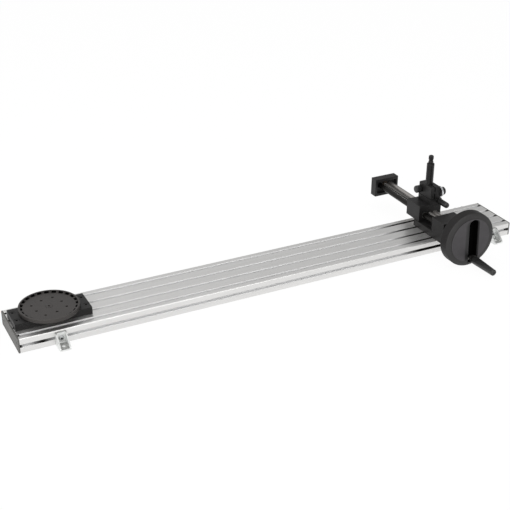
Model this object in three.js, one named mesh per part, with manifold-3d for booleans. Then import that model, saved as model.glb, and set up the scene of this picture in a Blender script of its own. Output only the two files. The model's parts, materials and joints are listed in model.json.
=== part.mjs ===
// Camera slider: slotted rail with a turntable and a cross-slide carriage.
// Millimetres. Origin: centre of the rail's underside. +X along the rail, towards the
// carriage end. +Z up. The handwheel faces -Y.
import * as THREE from 'three';
import { ConvexGeometry } from 'three/addons/geometries/ConvexGeometry.js';
import { mergeVertices } from 'three/addons/utils/BufferGeometryUtils.js';
import Module from 'manifold-3d';

const wasm = await Module();
wasm.setup();

// ---- driving dimensions -------------------------------------------------------------
const GAP = 0.3;

// rail: four modules of the usual 40 mm slotted profile
const RAIL_L = 1492;
const RAIL_W = 160;
const RAIL_H = 40;
const PITCH = 40;
const SLOT_HALF = 4.1;
const LIP = 4.5;
const UNDERCUT_HALF = 10;
const UNDERCUT_DEPTH = 7;
const SLOT_DEPTH = 12.2;
const SLOT_FLOOR_HALF = 4.8;
const RAIL_CORNER = 3;
const CORE_R = 3.4;
const CHAMBER_HALF_W = 5;
const CHAMBER_HALF_H = 13;
const CAP_T = 3.7;

// mounting brackets
const BRACKET_X = [-642.5, 683.5];
const BRACKET_W = 29;
const BRACKET_LEG = 38;
const BRACKET_RISE = 36;
const BRACKET_T = 5;

// turntable
const TT_X = -644;
const TT_BASE_L = 200;
const TT_BASE_W = 80;
const TT_BASE_TOP = 60;
const TT_SCREW_X = 90;
const DISC_R = 78;
const DISC_Z0 = 61.5;
const DISC_Z1 = 72;
const DISH_R = 73;
const DISH_Z = 67.8;
const POCKET_COUNT = 24;
const POCKET_HALF = 6;
const POCKET_REACH = 6;
const POCKET_DEPTH = 1.2;
const HOLE_RING_A = 45;
const HOLE_RING_B = 37;
const RACE_R = 32;

// carriage that runs on the rail
const CAR_X = 520;
const CAR_HALF = 38;
const CAR_Y0 = -112;
const CAR_Y1 = 35;
const CAR_TOP = 60;
const FRONT_SUPPORT_Y1 = -55;
const FRONT_SUPPORT_TOP = 104;
const AXIS_Z = 81;
const SHAFT_Z = 78.5;
const SHAFT_DX = 18;
const SHAFT_R = 8;
const SHAFT_BORE_R = 8.15;
const SHAFT_Y0 = -90;
const SHAFT_Y1 = 264;
const END_Y0 = 245;
const END_Y1 = 271;
const END_HALF = 41;
const END_Z0 = 48;
const END_Z1 = 104;

// lead screw and handwheel
const SCREW_R = 5;
const JOURNAL_BORE_R = 5.07;
const WHEEL_R = 80.5;
const WHEEL_BACK = -156;
const WHEEL_FRONT = -190.5;
const RIM_R = 64;
const FACE_R = 64.6;
const WHEEL_TURN = THREE.MathUtils.degToRad(-2.5);
const GROOVE_DX = 12;
const GROOVE_HALF = 13.6;
const GROOVE_DEPTH = 20.5;
const SCOOP_LEFT = 19;
const SCOOP_RIGHT = 4;
const SCOOP_DEPTH = 6;
const CRANK_DX = 11.5;
const CRANK_RADIUS = 62;
const CRANK_Y = -183;
const CRANK_TIP = -287;
const GRIP_ROOT_R = 12;
const GRIP_TIP_R = 9.4;

// cross-slide block
const BLOCK_Y0 = 10;
const BLOCK_Y1 = 75;
const BLOCK_Z0 = 62;
const BLOCK_TOP = 109.7;
const BUSH_R = 9.6;
const BUSH_L = 20;
const NUT_R = 7.2;

// post and clamp
const POST_X = 527;
const POST_Y = 34.5;
const POST_R = 11.2;
const POST_BORE_R = 11.3;
const POST_Z0 = 111;
const POST_SHOULDER = 230.5;
const PIN_R = 7.5;
const PIN_TOP = 256;
const CLAMP_X0 = 514;
const CLAMP_X1 = 546;
const CLAMP_Y0 = 3;
const CLAMP_Y1 = 66;
const RISER_TOP = 126.7;
const CLAMP_TOP = 165;

// ---- materials ----------------------------------------------------------------------
const LOOKS = {
  rail: [0xc9cbcc, 0.34, 0.85],
  cap: [0x4a4b4c, 0.6, 0.0],
  casting: [0xd2d3d2, 0.5, 0.6],
  zinc: [0xb9bcc0, 0.35, 0.9],
  black: [0x2b2b2d, 0.5, 0.35],
  disc: [0x55524f, 0.55, 0.3],
  shaft: [0x5d5a56, 0.3, 0.8],
  steel: [0xb4b2ae, 0.28, 0.95],
  plastic: [0x3b3a3c, 0.55, 0.0],
  grip: [0x1f1f20, 0.45, 0.0],
  bronze: [0x9b7a45, 0.4, 0.8],
  liner: [0xb9b29a, 0.6, 0.0],
};

function look(name) {
  const [color, roughness, metalness] = LOOKS[name];
  return new THREE.MeshStandardMaterial({ color, roughness, metalness });
}

// ---- geometry helpers ---------------------------------------------------------------
// Welds the corners, drops folded triangles and turns the faces outwards.
function weld(geometry) {
  const bare = new THREE.BufferGeometry();
  bare.setAttribute('position', geometry.getAttribute('position').clone());
  if (geometry.index) bare.setIndex(geometry.index.clone());
  const merged = mergeVertices(bare, 1e-4);
  const p = merged.getAttribute('position');
  const from = merged.index.array;
  const keep = [];
  let volume = 0;
  const a = new THREE.Vector3();
  const b = new THREE.Vector3();
  const c = new THREE.Vector3();
  for (let i = 0; i < from.length; i += 3) {
    const [u, v, w] = [from[i], from[i + 1], from[i + 2]];
    if (u === v || v === w || w === u) continue;
    keep.push(u, v, w);
    a.fromBufferAttribute(p, u);
    b.fromBufferAttribute(p, v);
    c.fromBufferAttribute(p, w);
    volume += a.dot(b.cross(c));
  }
  if (volume < 0) keep.reverse();
  merged.setIndex(keep);
  return merged;
}

function toSolid(geometry) {
  const g = weld(geometry);
  const mesh = new wasm.Mesh({
    numProp: 3,
    vertProperties: new Float32Array(g.getAttribute('position').array),
    triVerts: new Uint32Array(g.index.array),
  });
  return new wasm.Manifold(mesh);
}

function toGeometry(solid) {
  const mesh = solid.getMesh();
  const g = new THREE.BufferGeometry();
  g.setAttribute('position', new THREE.BufferAttribute(new Float32Array(mesh.vertProperties), 3));
  g.setIndex(Array.from(mesh.triVerts));
  return g;
}

// base geometry, minus every geometry in cuts
function carve(base, cuts) {
  let solid = toSolid(base);
  for (const cut of cuts) solid = solid.subtract(toSolid(cut));
  return toGeometry(solid);
}

function join(parts) {
  let solid = toSolid(parts[0]);
  for (const part of parts.slice(1)) solid = solid.add(toSolid(part));
  return toGeometry(solid);
}

// block with every edge chamfered by c
function block(x0, x1, y0, y1, z0, z1, c = 0.8) {
  const points = [];
  for (const [x, sx] of [[x0, 1], [x1, -1]]) {
    for (const [y, sy] of [[y0, 1], [y1, -1]]) {
      for (const [z, sz] of [[z0, 1], [z1, -1]]) {
        points.push(new THREE.Vector3(x, y + sy * c, z + sz * c));
        points.push(new THREE.Vector3(x + sx * c, y, z + sz * c));
        points.push(new THREE.Vector3(x + sx * c, y + sy * c, z));
      }
    }
  }
  return new ConvexGeometry(points);
}

function cutter(x0, x1, y0, y1, z0, z1) {
  const g = new THREE.BoxGeometry(x1 - x0, y1 - y0, z1 - z0);
  return g.translate((x0 + x1) / 2, (y0 + y1) / 2, (z0 + z1) / 2);
}

// matrix that sends local +Y (the axis things are turned about) to the named axis
function axisTurn(axis) {
  const m = new THREE.Matrix4();
  if (axis === 'x') m.makeRotationZ(-Math.PI / 2);
  if (axis === 'z') m.makeRotationX(Math.PI / 2);
  return m;
}

// Turned part. profile: [radius, position along axis] pairs, from axis to axis for a solid
// part, or a loop that ends where it starts for a ring.
function turned(axis, centre, profile, segments = 24) {
  const points = profile.map(([r, s]) => new THREE.Vector2(r, s));
  const g = new THREE.LatheGeometry(points, segments);
  g.applyMatrix4(axisTurn(axis));
  return g.translate(centre[0], centre[1], centre[2]);
}

// cylinder from s0 to s1 along the axis, its ends chamfered by c
function rod(axis, centre, r, s0, s1, segments = 24, c = 0.6) {
  const profile = [[0, s0], [r - c, s0], [r, s0 + c], [r, s1 - c], [r - c, s1], [0, s1]];
  return turned(axis, centre, profile, segments);
}

// plain cylinder for cutting holes
function drill(axis, centre, r, s0, s1, segments = 24) {
  return turned(axis, centre, [[0, s0], [r, s0], [r, s1], [0, s1]], segments);
}

function ring(axis, centre, rIn, rOut, s0, s1, segments = 24, c = 0.4) {
  const profile = [
    [rIn, s0], [rOut - c, s0], [rOut, s0 + c], [rOut, s1 - c], [rOut - c, s1], [rIn, s1], [rIn, s0],
  ];
  return turned(axis, centre, profile, segments);
}

// shape drawn in (Y, Z), extruded along X
function alongX(shape, x0, x1) {
  const g = new THREE.ExtrudeGeometry(shape, { depth: x1 - x0, bevelEnabled: false, curveSegments: 6 });
  const m = new THREE.Matrix4();
  m.makeBasis(new THREE.Vector3(0, 1, 0), new THREE.Vector3(0, 0, 1), new THREE.Vector3(1, 0, 0));
  g.applyMatrix4(m);
  return g.translate(x0, 0, 0);
}

// turns a geometry about the handwheel's axis
function atWheelAngle(geometry) {
  geometry.translate(-CAR_X, 0, -AXIS_Z);
  geometry.rotateY(WHEEL_TURN);
  return geometry.translate(CAR_X, 0, AXIS_Z);
}

const group = new THREE.Group();
group.name = 'camera_slider';

function put(name, geometry, lookName) {
  const mesh = new THREE.Mesh(weld(geometry), look(lookName));
  mesh.geometry.computeVertexNormals();
  mesh.name = name;
  group.add(mesh);
}

// ---- rail -----------------------------------------------------------------------------
// outline of one T-slot: u along the face, d into the profile
const SLOT_OUTLINE = [
  [-SLOT_HALF, 0], [-SLOT_HALF, LIP], [-UNDERCUT_HALF, LIP], [-UNDERCUT_HALF, UNDERCUT_DEPTH],
  [-SLOT_FLOOR_HALF, SLOT_DEPTH], [SLOT_FLOOR_HALF, SLOT_DEPTH], [UNDERCUT_HALF, UNDERCUT_DEPTH],
  [UNDERCUT_HALF, LIP], [SLOT_HALF, LIP], [SLOT_HALF, 0],
];

function railOutline() {
  const w = RAIL_W / 2;
  const h = RAIL_H / 2;
  const across = [-1.5 * PITCH, -0.5 * PITCH, 0.5 * PITCH, 1.5 * PITCH];
  // each side: start corner, direction of travel, slot positions along it
  const sides = [
    [[-w, -h], [1, 0], across.map((y) => y + w)],
    [[w, -h], [0, 1], [h]],
    [[w, h], [-1, 0], across.map((y) => y + w)],
    [[-w, h], [0, -1], [h]],
  ];
  const points = [];
  for (const [corner, dir, slots] of sides) {
    const inward = [-dir[1], dir[0]];
    for (const at of slots) {
      for (const [u, d] of SLOT_OUTLINE) {
        const y = corner[0] + dir[0] * (at + u) + inward[0] * d;
        const z = corner[1] + dir[1] * (at + u) + inward[1] * d;
        points.push(new THREE.Vector2(y, z + h));
      }
    }
    const end = [corner[0] + dir[0] * (dir[0] ? RAIL_W : 0), corner[1] + dir[1] * (dir[1] ? RAIL_H : 0)];
    for (let k = 0; k <= 4; k += 1) {
      const t = (k / 4) * (Math.PI / 2);
      const back = RAIL_CORNER * (1 - Math.sin(t));
      const into = RAIL_CORNER * (1 - Math.cos(t));
      points.push(new THREE.Vector2(
        end[0] - dir[0] * back + inward[0] * into,
        end[1] - dir[1] * back + inward[1] * into + h,
      ));
    }
  }
  return points;
}

function railExtrusion() {
  const shape = new THREE.Shape(railOutline());
  for (const k of [-1.5, -0.5, 0.5, 1.5]) {
    const hole = new THREE.Path();
    hole.absarc(k * PITCH, RAIL_H / 2, CORE_R, 0, 2 * Math.PI, true);
    shape.holes.push(hole);
  }
  for (const k of [-1, 0, 1]) {
    const w = CHAMBER_HALF_W;
    const h = CHAMBER_HALF_H;
    const c = 2;
    const corners = [
      [-w, -h + c], [-w, h - c], [-w + c, h], [w - c, h], [w, h - c], [w, -h + c], [w - c, -h], [-w + c, -h],
    ];
    const hole = new THREE.Path(corners.map(([y, z]) => new THREE.Vector2(k * PITCH + y, RAIL_H / 2 + z)));
    shape.holes.push(hole);
  }
  return alongX(shape, -RAIL_L / 2, RAIL_L / 2);
}

// thin cap over a cut end of the rail; side is -1 (left) or +1 (right)
function endCap(side) {
  const inner = side * (RAIL_L / 2 + GAP);
  const outer = side * (RAIL_L / 2 + GAP + CAP_T);
  const points = [];
  for (const [x, inset] of [[inner, 0], [outer - side * 0.8, 0], [outer, 0.8]]) {
    for (const sy of [-1, 1]) {
      for (const sz of [-1, 1]) {
        for (let k = 0; k <= 4; k += 1) {
          const t = (k / 4) * (Math.PI / 2);
          const y = RAIL_W / 2 - RAIL_CORNER + (RAIL_CORNER - inset) * Math.cos(t);
          const z = RAIL_H / 2 - RAIL_CORNER + (RAIL_CORNER - inset) * Math.sin(t);
          points.push(new THREE.Vector3(x, sy * y, RAIL_H / 2 + sz * z));
        }
      }
    }
  }
  return new ConvexGeometry(points);
}

// ---- brackets and their fixings ---------------------------------------------------------
// side is -1 for the front face of the rail, +1 for the back
function bracket(x, side) {
  const at = (d) => side * (RAIL_W / 2 + GAP + d);
  const span = (a, b) => [Math.min(a, b), Math.max(a, b)];
  const [r0, r1] = span(at(0), at(BRACKET_T));
  const [f0, f1] = span(at(0), at(BRACKET_LEG));
  const half = BRACKET_W / 2;
  const parts = [
    block(x - half, x + half, r0, r1, 0, BRACKET_RISE, 0.6),
    block(x - half, x + half, f0, f1, 0, BRACKET_T, 0.6),
  ];
  for (const edge of [x - half, x + half - 4]) {
    const gusset = new THREE.Shape([
      new THREE.Vector2(at(2), 2),
      new THREE.Vector2(at(BRACKET_LEG - 2), 2),
      new THREE.Vector2(at(BRACKET_LEG - 2), BRACKET_T + 1),
      new THREE.Vector2(at(BRACKET_T + 1), BRACKET_RISE - 2),
      new THREE.Vector2(at(2), BRACKET_RISE - 2),
    ]);
    parts.push(alongX(gusset, edge, edge + 4));
  }
  const cuts = [
    drill('y', [x, 0, RAIL_H / 2], 4.3, ...span(at(-2), at(BRACKET_T + 2)), 16),
    drill('z', [x, at(22), 0], 4.5, -2, BRACKET_T + 2, 16),
  ];
  return carve(join(parts), cuts);
}

// button-head bolt through a bracket into the side slot
function bracketBolt(x, side) {
  const at = (d) => side * (RAIL_W / 2 + GAP + d);
  const profile = [
    [0, at(-9.5)], [3.8, at(-9.5)], [3.8, at(BRACKET_T + GAP)], [7, at(BRACKET_T + GAP)],
    [6.4, at(BRACKET_T + 2.8)], [4, at(BRACKET_T + 4.6)],
    [2.5, at(BRACKET_T + 4.6)], [2.5, at(BRACKET_T + 2.4)], [0, at(BRACKET_T + 2.4)],
  ];
  return turned('y', [x, 0, RAIL_H / 2], profile, 12);
}

// T-nut in a slot; the slot's mouth faces +Z at height z before the turn about X
function tNut(x, y, z, turn) {
  const shape = new THREE.Shape([
    new THREE.Vector2(-9, -LIP - GAP), new THREE.Vector2(-9, -LIP - GAP - 1.8),
    new THREE.Vector2(-6.6, -LIP - GAP - 4.4), new THREE.Vector2(6.6, -LIP - GAP - 4.4),
    new THREE.Vector2(9, -LIP - GAP - 1.8), new THREE.Vector2(9, -LIP - GAP),
  ]);
  const g = carve(alongX(shape, -10, 10), [drill('z', [0, 0, 0], 4.1, -20, 5, 12)]);
  g.rotateX(turn);
  return g.translate(x, y, z);
}

// ---- turntable -----------------------------------------------------------------------------
function turntableBase() {
  const half = TT_BASE_L / 2;
  const cuts = [];
  for (const sx of [-1, 1]) {
    for (const sy of [-1, 1]) {
      const x = TT_X + sx * TT_SCREW_X;
      cuts.push(drill('z', [x, sy * PITCH / 2, 0], 4.3, RAIL_H - 1, TT_BASE_TOP + 1, 12));
      cuts.push(drill('z', [x, sy * PITCH / 2, 0], 7.2, TT_BASE_TOP - 8.6, TT_BASE_TOP + 1, 16));
    }
  }
  cuts.push(drill('z', [TT_X, 0, 0], 6.07, RAIL_H - 1, TT_BASE_TOP + 1));
  const y = TT_BASE_W / 2;
  return carve(block(TT_X - half, TT_X + half, -y, y, RAIL_H + GAP, TT_BASE_TOP, 1), cuts);
}

// socket-head screw, head top at z, shank down into the T-nut
function plateScrew(x, y, z, shankEnd) {
  const profile = [
    [0, shankEnd], [3.8, shankEnd], [3.8, z - 8], [6.8, z - 8], [6.8, z - 0.6],
    [6.2, z], [3.2, z], [3.2, z - 4], [0, z - 4],
  ];
  return turned('z', [x, y, 0], profile, 12);
}

function turntableDisc() {
  const profile = [
    [6.3, DISC_Z0 + 4.4], [RACE_R + 2, DISC_Z0 + 4.4], [RACE_R + 2, DISC_Z0], [DISC_R, DISC_Z0],
    [DISC_R, DISC_Z1 - 1], [DISC_R - 1, DISC_Z1], [DISH_R, DISC_Z1],
    [DISH_R, DISH_Z], [9.3, DISH_Z], [9.3, DISH_Z - 1], [6.3, DISH_Z - 1], [6.3, DISC_Z0 + 4.4],
  ];
  const body = turned('z', [TT_X, 0, 0], profile, 48);
  const cuts = [];
  const first = THREE.MathUtils.degToRad(4);
  for (let k = 0; k < POCKET_COUNT; k += 1) {
    const inner = DISH_R - POCKET_REACH;
    const pocket = cutter(
      inner, DISH_R + 2.6, -POCKET_HALF, POCKET_HALF, DISH_Z - POCKET_DEPTH, DISC_Z1 - 0.5,
    );
    pocket.rotateZ(first + (2 * Math.PI * k) / POCKET_COUNT);
    cuts.push(pocket.translate(TT_X, 0, 0));
  }
  for (let k = 0; k < 4; k += 1) {
    for (const [r, angle] of [[HOLE_RING_A, 63], [HOLE_RING_B, 16]]) {
      const t = THREE.MathUtils.degToRad(angle + 90 * k);
      cuts.push(drill('z', [TT_X + r * Math.cos(t), r * Math.sin(t), 0], 3.2, DISH_Z - 4, DISH_Z + 2, 10));
    }
  }
  return carve(body, cuts);
}

function turntableRace() {
  return ring('z', [TT_X, 0, 0], 20, RACE_R, TT_BASE_TOP + GAP, DISC_Z0 + 4.1, 24, 0);
}

// the disc's pivot: a flanged pin with its flange let into the dish
function turntablePivot() {
  const profile = [
    [0, 45], [6, 45], [6, DISH_Z - 0.7], [9, DISH_Z - 0.7], [9, DISH_Z + 0.6], [3, DISH_Z + 0.6],
    [3, DISH_Z - 2], [0, DISH_Z - 2],
  ];
  return turned('z', [TT_X, 0, 0], profile);
}

// ---- carriage -------------------------------------------------------------------------------
const GLIDE_Y = [20, -60];
const PLATE_SCREW_DX = 27;
const PLATE_SCREW_Y = [-30, 25];

function carriagePlate() {
  const cuts = [];
  for (const sx of [-1, 1]) {
    for (const y of PLATE_SCREW_Y) {
      const x = CAR_X + sx * PLATE_SCREW_DX;
      cuts.push(drill('z', [x, y, 0], 6, CAR_TOP - 7, CAR_TOP + 1, 12));
    }
  }
  return carve(
    block(CAR_X - CAR_HALF, CAR_X + CAR_HALF, CAR_Y0, CAR_Y1, RAIL_H + GAP, CAR_TOP, 0.8),
    cuts,
  );
}

// socket screw sunk in the carriage plate
function sunkScrew(x, y) {
  const z = CAR_TOP - 0.8;
  const profile = [
    [0, z - 5.8], [5.6, z - 5.8], [5.6, z - 0.5], [5.1, z], [2.5, z], [2.5, z - 3], [0, z - 3],
  ];
  return turned('z', [x, y, 0], profile, 12);
}

// T-shaped runner under the plate, in one of the rail's slots
function glide(y) {
  const top = RAIL_H - 0.1;
  const shape = new THREE.Shape([
    new THREE.Vector2(y - 3.8, top), new THREE.Vector2(y - 3.8, RAIL_H - LIP - 0.4),
    new THREE.Vector2(y - 9, RAIL_H - LIP - 0.4), new THREE.Vector2(y - 9, RAIL_H - LIP - 2.2),
    new THREE.Vector2(y - 6.8, RAIL_H - LIP - 4.6), new THREE.Vector2(y + 6.8, RAIL_H - LIP - 4.6),
    new THREE.Vector2(y + 9, RAIL_H - LIP - 2.2), new THREE.Vector2(y + 9, RAIL_H - LIP - 0.4),
    new THREE.Vector2(y + 3.8, RAIL_H - LIP - 0.4), new THREE.Vector2(y + 3.8, top),
  ]);
  return alongX(shape, CAR_X - 35, CAR_X + 35);
}

function shaftBores(y0, y1, r, segments = 24) {
  return [-1, 1].map((s) => drill('y', [CAR_X + s * SHAFT_DX, 0, SHAFT_Z], r, y0, y1, segments));
}

function frontSupport() {
  const y0 = CAR_Y0;
  const y1 = FRONT_SUPPORT_Y1;
  const body = block(CAR_X - CAR_HALF, CAR_X + CAR_HALF, y0, y1, CAR_TOP + GAP, FRONT_SUPPORT_TOP, 0.8);
  const centre = [CAR_X, 0, AXIS_Z];
  return carve(body, [
    ...shaftBores(SHAFT_Y0 - 0.4, y1 + 1, SHAFT_BORE_R),
    drill('y', centre, 6.2, y0 - 1, y1 + 1),
    drill('y', centre, 13.2, y0 - 1, y0 + 12),
  ]);
}

function endSupport() {
  const body = block(CAR_X - END_HALF, CAR_X + END_HALF, END_Y0, END_Y1, END_Z0, END_Z1, 1.2);
  const z0 = END_Z0 + 9;
  const z1 = END_Z1 - 9;
  return carve(body, [
    cutter(CAR_X - END_HALF + 7, CAR_X + END_HALF - 7, END_Y0 - 1, END_Y0 + 10, z0, z1),
    ...shaftBores(END_Y0 - 2, SHAFT_Y1 + 0.4, SHAFT_BORE_R),
    drill('y', [CAR_X, 0, AXIS_Z], 8.2, END_Y0 - 2, END_Y1 - 8),
  ]);
}

// ---- lead screw and handwheel ------------------------------------------------------------------
function leadScrew() {
  const y0 = WHEEL_FRONT + GROOVE_DEPTH + 4.2;
  return rod('y', [CAR_X, 0, AXIS_Z], SCREW_R, y0, END_Y1 - 8.6, 24, 0.8);
}

// plain ring that runs on the lead screw
function screwRing(rOut, y0, y1) {
  return ring('y', [CAR_X, 0, AXIS_Z], JOURNAL_BORE_R, rOut, y0, y1, 24, 0);
}

function wheelHub() {
  const profile = [
    [SCREW_R + 0.1, CAR_Y0 - 1], [18, CAR_Y0 - 1], [18, -127], [22, -128], [22, WHEEL_BACK + 0.3],
    [SCREW_R + 0.1, WHEEL_BACK + 0.3], [SCREW_R + 0.1, CAR_Y0 - 1],
  ];
  return turned('y', [CAR_X, 0, AXIS_Z], profile);
}

function handwheel() {
  const b = WHEEL_BACK;
  const f = WHEEL_FRONT;
  const profile = [
    [0, b], [26, b], [26, b - 8], [RIM_R, b - 8], [RIM_R, b], [77, b], [WHEEL_R, b - 3.5],
    [WHEEL_R, f + 6], [79.8, f + 4.4], [77, f + 3], [FACE_R + 0.8, f + 0.8], [FACE_R, f], [0, f],
  ];
  const body = turned('y', [CAR_X, 0, AXIS_Z], profile, 48);
  // recess the crank folds into: its far end rounded, its mouth scooped out for a finger
  const x = CAR_X + GROOVE_DX;
  const top = AXIS_Z + CRANK_RADIUS - 17;
  const bottom = AXIS_Z - CRANK_RADIUS - 9;
  const floor = f + GROOVE_DEPTH;
  const groove = cutter(x - GROOVE_HALF, x + GROOVE_HALF, f - 1, floor, bottom, top);
  const grooveEnd = drill('y', [x, 0, top], GROOVE_HALF, f - 1, floor, 24);
  const scoop = new ConvexGeometry([
    new THREE.Vector3(x - GROOVE_HALF - SCOOP_LEFT, f - 0.5, bottom + 6),
    new THREE.Vector3(x + GROOVE_HALF + SCOOP_RIGHT, f - 0.5, bottom + 6),
    new THREE.Vector3(x + GROOVE_HALF + SCOOP_RIGHT, f - 0.5, top),
    new THREE.Vector3(x - GROOVE_HALF - SCOOP_LEFT, f - 0.5, top),
    new THREE.Vector3(x - GROOVE_HALF + 1, f + SCOOP_DEPTH, bottom + 6),
    new THREE.Vector3(x + GROOVE_HALF - 1, f + SCOOP_DEPTH, bottom + 6),
    new THREE.Vector3(x + GROOVE_HALF - 1, f + SCOOP_DEPTH, top),
    new THREE.Vector3(x - GROOVE_HALF + 1, f + SCOOP_DEPTH, top),
  ]);
  const pin = [x, CRANK_Y, AXIS_Z - CRANK_RADIUS];
  const pivot = drill('x', pin, 3.2, -GROOVE_HALF - 6, GROOVE_HALF + 6, 16);
  const bore = drill('y', [CAR_X, 0, AXIS_Z], SCREW_R + 0.1, floor + 3, b + 1);
  const cuts = [join([groove, grooveEnd, scoop]), pivot].map(atWheelAngle);
  return carve(body, [...cuts, bore]);
}

function crankPin() {
  const pin = [CAR_X + GROOVE_DX, CRANK_Y, AXIS_Z - CRANK_RADIUS];
  return atWheelAngle(rod('x', pin, 3, -GROOVE_HALF - 5.6, GROOVE_HALF + 5.6, 16, 0));
}

// root of the crank: a rounded eye on the pin, then the spindle the grip turns on
function crankArm() {
  const x = CAR_X + CRANK_DX;
  const z = AXIS_Z - CRANK_RADIUS;
  const eye = drill('x', [x, CRANK_Y, z], 7.5, -8.5, 8.5);
  const neck = turned('y', [x, 0, z], [
    [0, -278], [3.4, -278], [3.4, -198.4], [7.4, -198.4], [7.4, CRANK_Y], [0, CRANK_Y],
  ]);
  const bore = drill('x', [x, CRANK_Y, z], 3.06, -10, 10, 24);
  return atWheelAngle(carve(join([eye, neck]), [bore]));
}

function crankGrip() {
  const r = GRIP_TIP_R;
  const profile = [
    [0, -279], [3.46, -279], [3.46, -198.8], [GRIP_ROOT_R - 0.8, -198.8], [GRIP_ROOT_R, -199.6],
    [r, CRANK_TIP + 1.5], [r - 1.5, CRANK_TIP], [0, CRANK_TIP],
  ];
  return atWheelAngle(turned('y', [CAR_X + CRANK_DX, 0, AXIS_Z - CRANK_RADIUS], profile));
}

// ---- cross-slide ----------------------------------------------------------------------------------
function slideBlock() {
  const body = block(CAR_X - CAR_HALF, CAR_X + CAR_HALF, BLOCK_Y0, BLOCK_Y1, BLOCK_Z0, BLOCK_TOP, 0.8);
  const centre = [CAR_X, 0, AXIS_Z];
  const mid = (BLOCK_Y0 + BLOCK_Y1) / 2;
  return carve(body, [
    ...shaftBores(BLOCK_Y0 - 1, BLOCK_Y1 + 1, 8.6),
    ...shaftBores(BLOCK_Y0 - 1, BLOCK_Y0 + BUSH_L + 0.4, BUSH_R + 0.1),
    ...shaftBores(BLOCK_Y1 - BUSH_L - 0.4, BLOCK_Y1 + 1, BUSH_R + 0.1),
    drill('y', centre, 5.6, BLOCK_Y0 - 1, BLOCK_Y1 + 1),
    drill('y', centre, NUT_R + 0.1, mid - 11.4, BLOCK_Y1 + 1),
  ]);
}

function bush(s, y0) {
  return ring('y', [CAR_X + s * SHAFT_DX, 0, SHAFT_Z], 8.07, BUSH_R, y0, y0 + BUSH_L, 24, 0);
}

// ---- post clamp -----------------------------------------------------------------------------------
const FRONT_SCREW = [8, 147];
const REAR_SCREW = [57, 144];
const WASHER_T = 5;
const LOCK_X = 545;
const LOCK_Z = 119.5;

function riser() {
  const body = block(CLAMP_X0, CLAMP_X1 + 8, CLAMP_Y0, CLAMP_Y1, BLOCK_TOP + GAP, RISER_TOP, 0.7);
  return carve(body, [
    drill('z', [POST_X, POST_Y, 0], POST_BORE_R + 0.2, BLOCK_TOP - 1, RISER_TOP + 1),
    drill('y', [LOCK_X, 0, LOCK_Z], 4.3, CLAMP_Y0 - 1, CLAMP_Y0 + 14, 16),
  ]);
}

function clampBlock() {
  const body = block(CLAMP_X0, CLAMP_X1, CLAMP_Y0, CLAMP_Y1, RISER_TOP + GAP, CLAMP_TOP, 1.6);
  return carve(body, [
    drill('z', [POST_X, POST_Y, 0], POST_BORE_R, RISER_TOP - 1, CLAMP_TOP + 1),
    cutter(POST_X - 1.8, POST_X + 1.8, CLAMP_Y0 - 1, POST_Y, RISER_TOP - 1, CLAMP_TOP + 1),
    drill('x', [0, ...FRONT_SCREW], 4.3, CLAMP_X0 + 5, CLAMP_X1 + 1, 16),
    drill('x', [0, ...REAR_SCREW], 4.3, CLAMP_X0 - 1, CLAMP_X0 + 14, 16),
  ]);
}

function post() {
  return turned('z', [POST_X, POST_Y, 0], [
    [0, POST_Z0], [POST_R - 0.8, POST_Z0], [POST_R, POST_Z0 + 0.8], [POST_R, POST_SHOULDER - 2],
    [POST_R - 2, POST_SHOULDER], [4.2, POST_SHOULDER], [4.2, POST_SHOULDER - 14], [0, POST_SHOULDER - 14],
  ]);
}

// spigot screwed into the top of the post
function spigot() {
  const r = PIN_R;
  return turned('z', [POST_X, POST_Y, 0], [
    [0, POST_SHOULDER - 13.6], [3.9, POST_SHOULDER - 13.6], [3.9, POST_SHOULDER + GAP],
    [r, POST_SHOULDER + GAP], [r, PIN_TOP - 4], [r - 0.9, PIN_TOP - 1.8], [r - 3, PIN_TOP - 0.4],
    [r - 4.5, PIN_TOP], [0, PIN_TOP],
  ]);
}

function frontKnob() {
  const x = CLAMP_X1;
  const profile = [
    [0, CLAMP_X0 + 6], [4, CLAMP_X0 + 6], [4, x + WASHER_T + GAP], [12, x + WASHER_T + GAP],
    [12, x + 15], [9, x + 18], [0, x + 18],
  ];
  return turned('x', [0, ...FRONT_SCREW], profile, 16);
}

function frontWasher() {
  return ring('x', [0, ...FRONT_SCREW], 4.3, 16, CLAMP_X1 + GAP, CLAMP_X1 + WASHER_T, 24, 0);
}

function rearKnob() {
  const x = CLAMP_X0 - GAP;
  const profile = [
    [0, x - 19], [8.5, x - 19], [11, x - 16.5], [11, x], [4, x], [4, x + 13.5], [0, x + 13.5],
  ];
  return turned('x', [0, ...REAR_SCREW], profile, 16);
}

// long cylindrical clamp screw on the riser's front
function lockGrip() {
  const y = CLAMP_Y0 - GAP;
  const r = 8.5;
  const profile = [
    [0, y - 42], [r - 3.6, y - 41], [r - 1, y - 38.5], [r, y - 35], [r, y], [4, y], [4, y + 13.5],
    [0, y + 13.5],
  ];
  return turned('y', [LOCK_X, 0, LOCK_Z], profile, 16);
}

// ---- assembly --------------------------------------------------------------------------------------
put('rail', railExtrusion(), 'rail');
put('end_cap_left', endCap(-1), 'cap');
put('end_cap_right', endCap(1), 'cap');
for (const [i, x] of BRACKET_X.entries()) {
  const end = ['left', 'right'][i];
  for (const side of [-1, 1]) {
    const tag = `${end}_${side < 0 ? 'front' : 'back'}`;
    put(`bracket_${tag}`, bracket(x, side), 'casting');
    put(`bracket_bolt_${tag}`, bracketBolt(x, side), 'zinc');
    put(`bracket_tnut_${tag}`, tNut(x, side * RAIL_W / 2, RAIL_H / 2, -side * Math.PI / 2), 'zinc');
  }
}

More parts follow.
